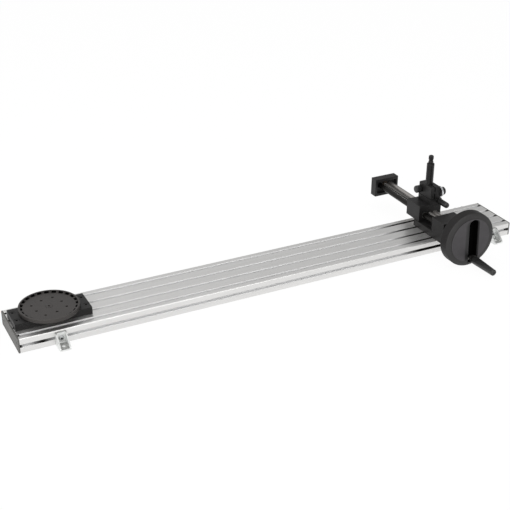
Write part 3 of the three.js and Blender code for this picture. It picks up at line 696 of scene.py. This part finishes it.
def build_bolt(tag, at, out):
    """Flanged button-head bolt, its head on the bracket's back plate."""
    top = FOOT_PLATE / MM
    head = [
        (0, -9.5, 0), (3.8, -9.5, 0.6), (3.8, top + 0.3, 0), (7, top + 0.3, 0.3), (6.9, top + 1.4, 1.0),
        (4.6, top + 4.2, 1.2), (3.4, top + 4.6, 0.4), (0, top + 4.6, 0),
    ]
    profile = [(r * MM, out * s * MM) for r, s in eased(head)]
    socket = six_sided("y", at, 5 * MM, out * (top + 2.2) * MM, out * (top + 7) * MM)
    bolt = cut(turned(profile, "y", at, 64), socket)
    node = f"bracket_bolt_{tag}"
    piece(f"foot_bolt_{tag}", bolt, "rail_base", "zinc", node, ease=0.2 * MM, finish=DULL_ZINC)


# ---- turntable ------------------------------------------------------------------------------
POCKETS = 24
POCKET_START = math.radians(4)
HOLE_RINGS = ((45 * MM, math.radians(63)), (37 * MM, math.radians(16)))
LIP = 5 * MM
DISH_DEPTH = 4.2 * MM
POCKET_HALF = 6 * MM
POCKET_REACH = 6 * MM
POCKET_UNDERCUT = 2.6 * MM
POCKET_DEPTH = 1.2 * MM
# radius and height above the dish's floor, in mm
COUNTERSINK = [(0, -9), (3.2, -9), (3.2, -0.7), (4.0, 0.1), (4.0, 2), (0, 2)]


def socket_screw(name, node, body, slot):
    """Cap screw seen from above: knurled head, eased rim, hexagon socket."""
    low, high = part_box(node)
    centre = middle(node)
    head_r = (high.x - low.x) / 2
    reach = high.z - low.z
    head = min(8 * MM, 0.55 * reach)
    shank = min(3.8 * MM, 0.6 * head_r)
    profile = eased([
        (0, 0, 0), (shank, 0, 0.5 * MM), (shank, reach - head, 0), (head_r, reach - head, 0.4 * MM),
        (head_r, reach, 0.9 * MM), (0, reach, 0),
    ])
    at = (centre.x, centre.y, low.z)
    bolt = turned(
        profile, "z", at, 144, flutes=36, depth=0.25 * MM, fluted_from=head_r - 0.1 * MM
    )
    socket = six_sided("z", at, 0.95 * head_r, reach - 0.5 * head, reach + 2 * MM)
    piece(name, cut(bolt, socket), body, slot, node)


def build_turntable():
    low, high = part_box("turntable_base")
    holes = []
    for n in (1, 2, 3, 4):
        c = middle(f"turntable_screw_{n}")
        holes.append(rod("z", (c.x, c.y, high.z), 7.2 * MM, -8.6 * MM, 2 * MM, 64))
        holes.append(rod("z", (c.x, c.y, low.z), 4.3 * MM, -2 * MM, 20 * MM, 48))
        socket_screw(f"base_screw_{n}", f"turntable_screw_{n}", "rail_base", "dark_steel")
    hub = middle("turntable_disc")
    holes.append(rod("z", (hub.x, hub.y, low.z), 6.07 * MM, -2 * MM, high.z - low.z + 2 * MM))
    base = cut(brick(low, high), *holes)
    piece("turntable_plate", base, "rail_base", "black", "turntable_base", ease=0.9 * MM)
    build_disc()


def build_disc():
    low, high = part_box("turntable_disc")
    hub = middle("turntable_disc")
    radius = (high.x - low.x) / 2
    dish_top = high.z
    floor = high.z - DISH_DEPTH
    under = low.z + 4.4 * MM
    race = (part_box("turntable_race")[1].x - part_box("turntable_race")[0].x) / 2
    pin = 6.3 * MM
    flange = 9.3 * MM
    profile = eased([
        (pin, under, 0), (race + 2 * MM, under, 0),
        (race + 2 * MM, low.z, 0.5 * MM), (radius, low.z, 1.2 * MM),
        (radius, high.z, 1.6 * MM), (radius - LIP, high.z, 0.5 * MM),
        (radius - LIP - 0.4 * MM, floor, 1.0 * MM),
        (flange, floor, 0.3 * MM), (flange, floor - 1 * MM, 0), (pin, floor - 1 * MM, 0), (pin, under, 0),
    ], steps=6)
    at = (hub.x, hub.y, 0)
    body = turned(profile, "z", at, 192)
    tools = []
    for k in range(POCKETS):
        pocket = brick(
            (radius - LIP - POCKET_REACH, -POCKET_HALF, floor - POCKET_DEPTH),
            (radius - LIP + POCKET_UNDERCUT, POCKET_HALF, high.z - 0.5 * MM), 0.5 * MM, 2,
        )
        turn = Matrix.Rotation(POCKET_START + 2 * math.pi * k / POCKETS, 4, "Z")
        pocket.transform(Matrix.Translation(at) @ turn)
        tools.append(pocket)
    for ring, first in HOLE_RINGS:
        for k in range(4):
            t = first + k * math.pi / 2
            hole = (hub.x + ring * math.cos(t), hub.y + ring * math.sin(t), floor)
            tools.append(turned([(r * MM, s * MM) for r, s in COUNTERSINK], "z", hole, 40))
    dish = piece("turntable_dish", cut(body, *tools), "turntable", "disc", "turntable_disc", smooth=30)

    def in_pocket(face):
        out = math.hypot(face.center.x - hub.x, face.center.y - hub.y)
        z = face.center.z
        below_floor = floor - POCKET_DEPTH - 0.3 * MM < z < floor - 0.1 * MM
        in_wall = floor - 0.1 * MM < z < dish_top - 0.3 * MM and out > radius - LIP + 0.2 * MM
        near_lip = radius - LIP - POCKET_REACH - 1 * MM < out < radius - 1.8 * MM
        return (below_floor or in_wall) and near_lip

    # painted shade: the pockets' faces are lined near-black
    lined(dish, PAINTED_RECESS_SHADE, in_pocket)
    low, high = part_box("turntable_pivot")
    boss = [
        (0, low.z, 0), (6 * MM, low.z, 0.5 * MM),
        (6 * MM, floor - 0.7 * MM, 0), (9 * MM, floor - 0.7 * MM, 0),
        (9 * MM, high.z, 0.6 * MM), (3.2 * MM, high.z, 0.4 * MM), (3 * MM, high.z - 2.6 * MM, 0),
        (0, high.z - 2.6 * MM, 0),
    ]
    piece("turntable_boss", turned(eased(boss), "z", at, 96), "turntable", "disc",
          "turntable_pivot")


# ---- carriage -------------------------------------------------------------------------------
SHAFTS = [middle("guide_shaft_left"), middle("guide_shaft_right")]
SHAFT_BORE = 8.15 * MM


def shaft_bores(start, end, radius):
    return [rod("y", (s.x, 0, s.z), radius, start, end, 64) for s in SHAFTS]


def build_carriage():
    low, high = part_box("carriage_plate")
    sinks = []
    for n in (1, 2, 3, 4):
        node = f"carriage_screw_{n}"
        c = middle(node)
        sinks.append(rod("z", (c.x, c.y, high.z), 6 * MM, -7 * MM, 2 * MM, 64))
        socket_screw(f"plate_screw_{n}", node, "carriage", "dark_steel")
    piece("rail_shoe", cut(brick(low, high), *sinks), "carriage", "black", "carriage_plate", ease=0.9 * MM)

    low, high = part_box("front_support")
    bores = shaft_bores(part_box("guide_shaft_left")[0].y - 0.4 * MM, high.y + 2 * MM, SHAFT_BORE)
    bearing = rod("y", (AXIS.x, 0, AXIS.z), 13.2 * MM, low.y - 2 * MM, low.y + 12 * MM)
    way = rod("y", (AXIS.x, 0, AXIS.z), 6.2 * MM, low.y - 2 * MM, high.y + 2 * MM)
    piece("front_block", cut(brick(low, high), *bores, bearing, way), "carriage", "black", "front_support",
          ease=0.9 * MM)

    low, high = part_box("end_support")
    recess = brick(
        (low.x + 7 * MM, low.y - 8 * MM, low.z + 9 * MM),
        (high.x - 7 * MM, low.y + 10 * MM, high.z - 9 * MM), 2.5 * MM,
    )
    bores = shaft_bores(low.y - 2 * MM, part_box("guide_shaft_left")[1].y + 0.4 * MM, SHAFT_BORE)
    bush = rod("y", (AXIS.x, 0, AXIS.z), 8.2 * MM, low.y - 2 * MM, high.y - 8 * MM)
    block = cut(brick(low, high), recess, *bores, bush)
    piece("end_block", block, "carriage", "black", "end_support", ease=1.3 * MM)

    for side in ("left", "right"):
        node = f"guide_shaft_{side}"
        low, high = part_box(node)
        c = middle(node)
        bar = rod("y", (c.x, 0, c.z), (high.x - low.x) / 2, low.y, high.y, 96, 0.8 * MM)
        piece(f"slide_bar_{side}", bar, "carriage", SLOT_OF[node], node, finish=BAR_FINISH[side])


# ---- lead screw and handwheel ---------------------------------------------------------------
LEAD = 4 * MM
THREAD_DEPTH = 1.1 * MM
WHEEL_TURN = Matrix.Rotation(math.radians(-2.5), 4, "Y")


def thread_height(phase):
    """Trapezoidal thread: 1 on the crest, 0 at the root, straight flanks between."""
    crest, flank = 0.30, 0.14
    away = abs(phase - 0.5) * 2
    return min(1.0, max(0.0, (crest + 2 * flank - away) / (2 * flank)))


def build_screw():
    """Lead screw with a real helical thread between its two plain journals."""
    low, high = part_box("lead_screw")
    radius = (high.x - low.x) / 2
    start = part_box("front_support")[1].y - 20 * MM
    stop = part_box("end_support")[0].y + 8 * MM
    steps = 40
    rows = int((stop - start) / LEAD * 10)
    bm = bmesh.new()
    rings = []
    ends = [(low.y, radius - 0.8 * MM), (low.y + 0.8 * MM, radius), (start - 1 * MM, radius)]
    tail = [(stop + 1 * MM, radius), (high.y - 0.8 * MM, radius), (high.y, radius - 0.8 * MM)]
    for y, r in ends:
        rings.append([(y, r)] * steps)
    for row in range(rows + 1):
        y = start + (stop - start) * row / rows
        ring = []
        for k in range(steps):
            phase = (y / LEAD - k / steps) % 1.0
            ring.append((y, radius - THREAD_DEPTH * (1 - thread_height(phase))))
        rings.append(ring)
    for y, r in tail:
        rings.append([(y, r)] * steps)
    made = []
    for ring in rings:
        made.append([
            bm.verts.new((
                AXIS.x + r * math.sin(2 * math.pi * k / steps),
                y,
                AXIS.z + r * math.cos(2 * math.pi * k / steps),
            ))
            for k, (y, r) in enumerate(ring)
        ])
    for one, two in zip(made, made[1:]):
        for k in range(steps):
            bm.faces.new((one[k], one[(k + 1) % steps], two[(k + 1) % steps], two[k]))
    bm.faces.new(made[0])
    bm.faces.new(made[-1])
    bmesh.ops.recalc_face_normals(bm, faces=bm.faces)
    piece("threaded_spindle", bm, "handwheel", "steel", "lead_screw", smooth=40)


def groove_outline(share):
    """The crank's recess seen from the front, about the wheel's axis: round at the top, square below.
    share is how much of the scoop round its mouth is added."""
    left, right = GROOVE_HALF + SCOOP_LEFT * share, GROOVE_HALF + SCOOP_RIGHT * share
    rise = GROOVE_HALF + SCOOP_RIGHT * share
    top = CRANK_RADIUS - 17 * MM
    bottom = -CRANK_RADIUS - 9 * MM - 1.5 * MM * share
    points = []
    for k in range(25):
        t = math.pi * k / 24
        points.append(((right if k < 12 else left) * math.cos(t), top + rise * math.sin(t)))
    square = [(-left, top, 0), (-left, bottom, 4 * MM), (right, bottom, 4 * MM), (right, top, 0)]
    corner = eased(square, steps=6)
    return [(GROOVE_DX + x, z) for x, z in points + corner[1:-1]]


def groove_tool(front):
    """Cutter for the crank's recess, scooped where it meets the wheel's face."""
    steps = 9
    levels = [(front - 3 * MM, 1.0)]
    for k in range(steps + 1):
        t = math.pi / 2 * k / steps
        levels.append((front + SCOOP_DEPTH * (1 - math.cos(t)), 1 - math.sin(t)))
    levels.append((front + GROOVE_DEPTH, 0.0))
    bm = bmesh.new()
    rings = []
    for y, share in levels:
        rings.append([bm.verts.new((x, y, z)) for x, z in groove_outline(share)])
    count = len(rings[0])
    for one, two in zip(rings, rings[1:]):
        for k in range(count):
            bm.faces.new((one[k], one[(k + 1) % count], two[(k + 1) % count], two[k]))
    bm.faces.new(rings[0])
    bm.faces.new(rings[-1])
    bmesh.ops.recalc_face_normals(bm, faces=bm.faces)
    bm.transform(Matrix.Translation((AXIS.x, 0, AXIS.z)) @ WHEEL_TURN)
    return bm


FACE_R = 64.6 * MM
RIM_R = 64 * MM


def build_wheel():
    low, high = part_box("handwheel")
    radius = (high.x - low.x) / 2
    front, back = low.y, high.y
    profile = eased([
        (0, back, 0), (26 * MM, back, 1 * MM),
        (26 * MM, back - 8 * MM, 2 * MM), (RIM_R, back - 8 * MM, 2 * MM),
        (RIM_R, back, 1.5 * MM), (radius, back, 4 * MM), (radius, front + 4.4 * MM, 1.8 * MM),
        (FACE_R + 9 * MM, front + 1.8 * MM, 4 * MM), (FACE_R, front + 1.0 * MM, 0), (FACE_R, front, 0.4 * MM),
        (0, front, 0),
    ], steps=10)
    body = turned(profile, "y", (AXIS.x, 0, AXIS.z), 256)
    bore = rod("y", (AXIS.x, 0, AXIS.z), 5.1 * MM, front + GROOVE_DEPTH + 3 * MM, back + 3 * MM)
    wheel = cut(body, groove_tool(front), bore)
    made = piece("wheel", wheel, "handwheel", "plastic", "handwheel", smooth=32)

    def on_rim(face):
        return math.hypot(face.center.x - AXIS.x, face.center.z - AXIS.z) > FACE_R - 0.2 * MM

    def on_shoulder(face):
        return on_rim(face) and face.normal.y < -0.2

    def in_recess(face):
        at = WHEEL_TURN.inverted() @ (face.center - AXIS)
        across = -GROOVE_HALF - 0.2 * MM < at.x - GROOVE_DX < GROOVE_HALF + 0.2 * MM
        along = -CRANK_RADIUS - 12 * MM < at.z < CRANK_RADIUS
        deep = front + 0.8 * SCOOP_DEPTH < face.center.y < front + GROOVE_DEPTH + 0.1 * MM
        return across and along and deep

    # painted shade: the rim faces take the darker copy of the wheel plastic
    lined(made, PAINTED_SHADE_RIM, on_rim)
    lined(made, SHOULDER_PLASTIC, on_shoulder)
    # painted shade: the crank recess's deep faces are lined near-black
    lined(made, PAINTED_RECESS_SHADE, in_recess)

    low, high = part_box("wheel_hub")
    hub = eased([
        (5.1 * MM, high.y, 0), (18 * MM, high.y, 0.8 * MM), (18 * MM, high.y - 14 * MM, 1 * MM),
        (22 * MM, high.y - 15 * MM, 1 * MM), (22 * MM, low.y, 0.6 * MM),
        (5.1 * MM, low.y, 0), (5.1 * MM, high.y, 0),
    ])
    boss = turned(hub, "y", (AXIS.x, 0, AXIS.z))
    piece("hub_boss", boss, "handwheel", "black", "wheel_hub")


GRIP_TAPER = 2.6 * MM


def build_crank():
    pin = middle("crank_arm")
    pin.y = middle("crank_pin").y
    arm_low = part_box("crank_arm")[0]
    grip_low, grip_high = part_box("crank_grip")
    spin = Matrix.Translation(pin) @ WHEEL_TURN
    reach = grip_high.y - pin.y
    tip = grip_low.y - pin.y
    root_r = (grip_high.z - grip_low.z) / 2
    tip_r = root_r - GRIP_TAPER
    eye = rod("x", (0, 0, 0), 7.5 * MM, -8.5 * MM, 8.5 * MM, 64, 0.8 * MM)
    neck = eased([
        (0, arm_low.y - pin.y, 0), (3.4 * MM, arm_low.y - pin.y, 0.4 * MM), (3.4 * MM, reach + 0.4 * MM, 0),
        (7.4 * MM, reach + 0.4 * MM, 0.6 * MM), (7.4 * MM, 0, 0), (0, 0, 0),
    ])
    arm = cut(
        joined(eye, turned(neck, "y", (0, 0, 0), 64)),
        rod("x", (0, 0, 0), 3.06 * MM, -12 * MM, 12 * MM, 48),
    )
    arm.transform(spin)
    piece("crank_yoke", arm, "crank", "dark_steel", "crank_arm", ease=0.4 * MM)

    shape = eased([
        (0, arm_low.y - pin.y - 1 * MM, 0), (3.46 * MM, arm_low.y - pin.y - 1 * MM, 0), (3.46 * MM, reach, 0),
        (root_r, reach, 1.2 * MM), (root_r - 0.4 * MM, reach - 14 * MM, 8 * MM),
        (tip_r, tip + 12 * MM, 8 * MM),
        (tip_r - 0.2 * MM, tip, 2.6 * MM), (3 * MM, tip, 0.4 * MM), (2.8 * MM, tip + 1.2 * MM, 0.4 * MM),
        (0, tip + 1.2 * MM, 0),
    ], steps=8)
    grip = turned(shape, "y", (0, 0, 0), 96)
    grip.transform(spin)
    piece("revolving_handle", grip, "grip", "grip", "crank_grip")


# ---- cross-slide, clamp and post ------------------------------------------------------------
def build_slide():
    low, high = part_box("slide_block")
    front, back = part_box("bush_left_front"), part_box("bush_left_back")
    screw = rod("y", (AXIS.x, 0, AXIS.z), 5.6 * MM, low.y - 2 * MM, high.y + 2 * MM, 64)
    nut_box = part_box("screw_nut")
    nut = rod("y", (AXIS.x, 0, AXIS.z), 7.3 * MM, nut_box[0].y - 0.4 * MM, high.y + 2 * MM, 64)
    block = cut(
        brick(low, high), screw, nut,
        *shaft_bores(low.y - 2 * MM, high.y + 2 * MM, 8.6 * MM),
        *shaft_bores(low.y - 2 * MM, front[1].y + 0.2 * MM, 9.7 * MM),
        *shaft_bores(back[0].y - 0.2 * MM, high.y + 2 * MM, 9.7 * MM),
    )
    piece("saddle", block, "cross_slide", "black", "slide_block", ease=1.0 * MM)


def build_clamp():
    stem = middle("post")
    bore = stem.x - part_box("post")[0].x + 0.1 * MM
    lock = middle("slide_lock_grip")
    front_screw, rear_screw = middle("clamp_front_knob"), middle("clamp_rear_knob")
    low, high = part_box("clamp_riser")
    riser = cut(
        brick(low, high),
        rod("z", (stem.x, stem.y, 0), bore + 0.2 * MM, low.z - 2 * MM, high.z + 2 * MM),
        rod("y", (lock.x, 0, lock.z), 4.3 * MM, low.y - 2 * MM, low.y + 14 * MM, 48),
    )
    piece("clamp_foot", riser, "cross_slide", "black", "clamp_riser", ease=0.8 * MM)

    low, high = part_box("clamp_block")
    outline = brick(low, high, 2.2 * MM, 4)
    slit = brick(
        (stem.x - 1.8 * MM, low.y - 2 * MM, low.z - 2 * MM), (stem.x + 1.8 * MM, stem.y, high.z + 2 * MM)
    )
    block = cut(
        outline, slit,
        rod("z", (stem.x, stem.y, 0), bore, low.z - 2 * MM, high.z + 2 * MM, 128),
        rod("x", (0, front_screw.y, front_screw.z), 4.3 * MM, low.x + 5 * MM, high.x + 2 * MM, 48),
        rod("x", (0, rear_screw.y, rear_screw.z), 4.3 * MM, low.x - 2 * MM, low.x + 14 * MM, 48),
    )
    piece("split_clamp", block, "cross_slide", "black", "clamp_block", ease=0.5 * MM)


def build_post():
    low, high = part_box("post")
    c = middle("post")
    r = (high.x - low.x) / 2
    stem = eased([
        (0, low.z, 0), (r, low.z, 0.8 * MM), (r, high.z, 2.4 * MM), (4.2 * MM, high.z, 0),
        (4.2 * MM, high.z - 14 * MM, 0), (0, high.z - 14 * MM, 0),
    ])
    piece("column", turned(stem, "z", (c.x, c.y, 0), 128), "post", "dark_steel", "post")
    shoulder = high.z
    low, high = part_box("post_spigot")
    r = (high.x - low.x) / 2
    waist = r - 1.1 * MM
    spigot = eased([
        (0, low.z, 0), (3.9 * MM, low.z, 0.4 * MM),
        (3.9 * MM, shoulder + 0.3 * MM, 0), (r, shoulder + 0.3 * MM, 0.5 * MM),
        (r, shoulder + 5.5 * MM, 1.2 * MM), (waist, shoulder + 7.5 * MM, 1.2 * MM),
        (waist, shoulder + 11.5 * MM, 1.2 * MM), (r, shoulder + 13.5 * MM, 1.2 * MM),
        (r, high.z - 2.6 * MM, 2.4 * MM), (r - 4.6 * MM, high.z, 2.2 * MM), (0, high.z, 0),
    ], steps=6)
    stud = turned(spigot, "z", (c.x, c.y, 0), 96)
    piece("stud", stud, "post", "dark_steel", "post_spigot")


def thumbscrew(place, way, seat, shoulder, tip):
    """Fluted knob on a screw along X. way is 1 or -1, from its seat outwards; tip ends the outline."""
    node = f"clamp_{place}_knob"
    low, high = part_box(node)
    inner, outer = (low.x, high.x) if way > 0 else (high.x, low.x)
    c = middle(node)
    r = (high.y - low.y) / 2
    head = seat + way * 0.3 * MM
    outline = eased([
        (0, inner, 0), (4 * MM, inner, 0.6 * MM), (4 * MM, head, 0), (r - 2 * MM, head, 0.4 * MM),
        (r, head + way * 2 * MM, 0.8 * MM), (r, outer - way * shoulder, 2.2 * MM),
        (r - 4 * MM, outer, 2 * MM), *[(across, outer + along, ease) for across, along, ease in tip],
    ])
    knob = turned(
        outline, "x", (0, c.y, c.z), 192, flutes=16, depth=0.9 * MM, fluted_from=r - 1.2 * MM
    )
    piece(f"{place}_thumbscrew", knob, f"{place}_knob", "grip", node)


def build_knobs():
    low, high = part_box("clamp_washer")
    c = middle("clamp_washer")
    r = (high.y - low.y) / 2
    washer = eased([
        (4.3 * MM, low.x, 0), (r, low.x, 0.3 * MM), (r, high.x, 0.7 * MM), (4.3 * MM, high.x, 0.2 * MM),
        (4.3 * MM, low.x, 0),
    ])
    piece("bright_washer", turned(washer, "x", (0, c.y, c.z), 96), "cross_slide", "zinc",
          "clamp_washer")

    dimple = [(3.4 * MM, 0, 0.3 * MM), (3.2 * MM, -1 * MM, 0), (0, -1 * MM, 0)]
    thumbscrew("front", 1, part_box("clamp_washer")[1].x, 2.6 * MM, dimple)
    thumbscrew("rear", -1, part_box("clamp_block")[0].x, 2.4 * MM, [(0, 0, 0)])

    low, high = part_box("slide_lock_grip")
    c = middle("slide_lock_grip")
    r = (high.x - low.x) / 2
    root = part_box("clamp_riser")[0].y - 0.3 * MM
    handle = eased([
        (0, high.y, 0), (4 * MM, high.y, 0.6 * MM), (4 * MM, root, 0), (r - 1 * MM, root, 0.5 * MM),
        (r, root - 3 * MM, 2 * MM), (r, low.y + 4 * MM, 3.6 * MM),
        (r - 2.6 * MM, low.y, 2.4 * MM), (0, low.y, 0),
    ], steps=8)
    piece("lock_handle", turned(handle, "y", (c.x, 0, c.z), 96), "lock_grip", "grip",
          "slide_lock_grip")


build_rail()
for side in ("left", "right"):
    build_cap(side)
for end in ("left", "right"):
    for side in ("front", "back"):
        build_bracket(end, side)
build_turntable()
build_carriage()
build_screw()
build_wheel()
build_crank()
build_slide()
build_clamp()
build_post()
build_knobs()


# ---- studio ---------------------------------------------------------------------------------
def build_floor():
    """Plain pale sheet under the object, evenly lit, so that it runs out to white."""
    bm = brick((-30, -30, -0.02), (30, 30, -0.001))
    floor = bpy.data.objects.new("floor", mesh_of(bm, "floor"))
    bpy.context.scene.collection.objects.link(floor)
    sheet = bpy.data.materials.new("floor_sheet")
    sheet.use_nodes = True
    shader = sheet.node_tree.nodes["Principled BSDF"]
    shader.inputs["Base Color"].default_value = (0.05, 0.05, 0.05, 1)
    shader.inputs["Roughness"].default_value = 1.0
    shader.inputs["Specular IOR Level"].default_value = 0.0
    shader.inputs["Emission Color"].default_value = (1, 1, 1, 1)
    shader.inputs["Emission Strength"].default_value = 0.95
    floor.data.materials.append(sheet)


def build_world():
    """Soft grey room, brighter overhead and to the left."""
    world = bpy.data.worlds.new("studio")
    world.use_nodes = True
    tree = world.node_tree
    place = tree.nodes.new("ShaderNodeTexCoord").outputs["Generated"]
    dot = tree.nodes.new("ShaderNodeVectorMath")
    dot.operation = "DOT_PRODUCT"
    dot.inputs[1].default_value = Vector((-0.85, 0.15, 0.5)).normalized()
    tree.links.new(place, dot.inputs[0])
    ramp = tree.nodes.new("ShaderNodeMapRange")
    ramp.interpolation_type = "SMOOTHSTEP"
    ramp.inputs["From Min"].default_value = -0.7
    ramp.inputs["From Max"].default_value = 0.9
    ramp.inputs["To Min"].default_value = 0.34
    ramp.inputs["To Max"].default_value = 0.95
    tree.links.new(dot.outputs["Value"], ramp.inputs["Value"])
    back = tree.nodes["Background"]
    back.inputs["Color"].default_value = (1, 1, 1, 1)
    tree.links.new(ramp.outputs[0], back.inputs["Strength"])
    bpy.context.scene.world = world


def softbox(name, place, target, size, power):
    lamp = bpy.data.lights.new(name, "AREA")
    lamp.shape = "RECTANGLE"
    lamp.size, lamp.size_y = size
    lamp.energy = power
    holder = bpy.data.objects.new(name, lamp)
    holder.location = place
    holder.rotation_euler = (Vector(target) - Vector(place)).to_track_quat("-Z", "Y").to_euler()
    bpy.context.scene.collection.objects.link(holder)


def build_lights():
    softbox("overhead", (-0.4, -0.2, 3.2), (0, 0, 0), (3.6, 2.4), 42)
    softbox("left_fill", (-3.2, -2.2, 1.6), (0.2, 0, 0), (2.0, 1.6), 38)
    softbox("front_fill", (0.9, -3.4, 1.0), (0.4, 0, 0.05), (2.4, 1.4), 26)


def build_camera():
    """The lens and the place were solved from the rail's corners, which are 1.5 m apart."""
    data = bpy.data.cameras.new("view")
    data.sensor_width = 36
    data.lens = 75.61
    camera = bpy.data.objects.new("view", data)
    camera.location = (-1.2198, -2.3382, 1.4253)
    heading, fall = math.radians(63.668), math.radians(27.283)
    look = Vector((math.cos(heading) * math.cos(fall), math.sin(heading) * math.cos(fall), -math.sin(fall)))
    camera.rotation_euler = look.to_track_quat("-Z", "Y").to_euler()
    bpy.context.scene.collection.objects.link(camera)
    bpy.context.scene.camera = camera


build_floor()
build_world()
build_lights()
build_camera()
bpy.context.scene.view_settings.view_transform = "Standard"
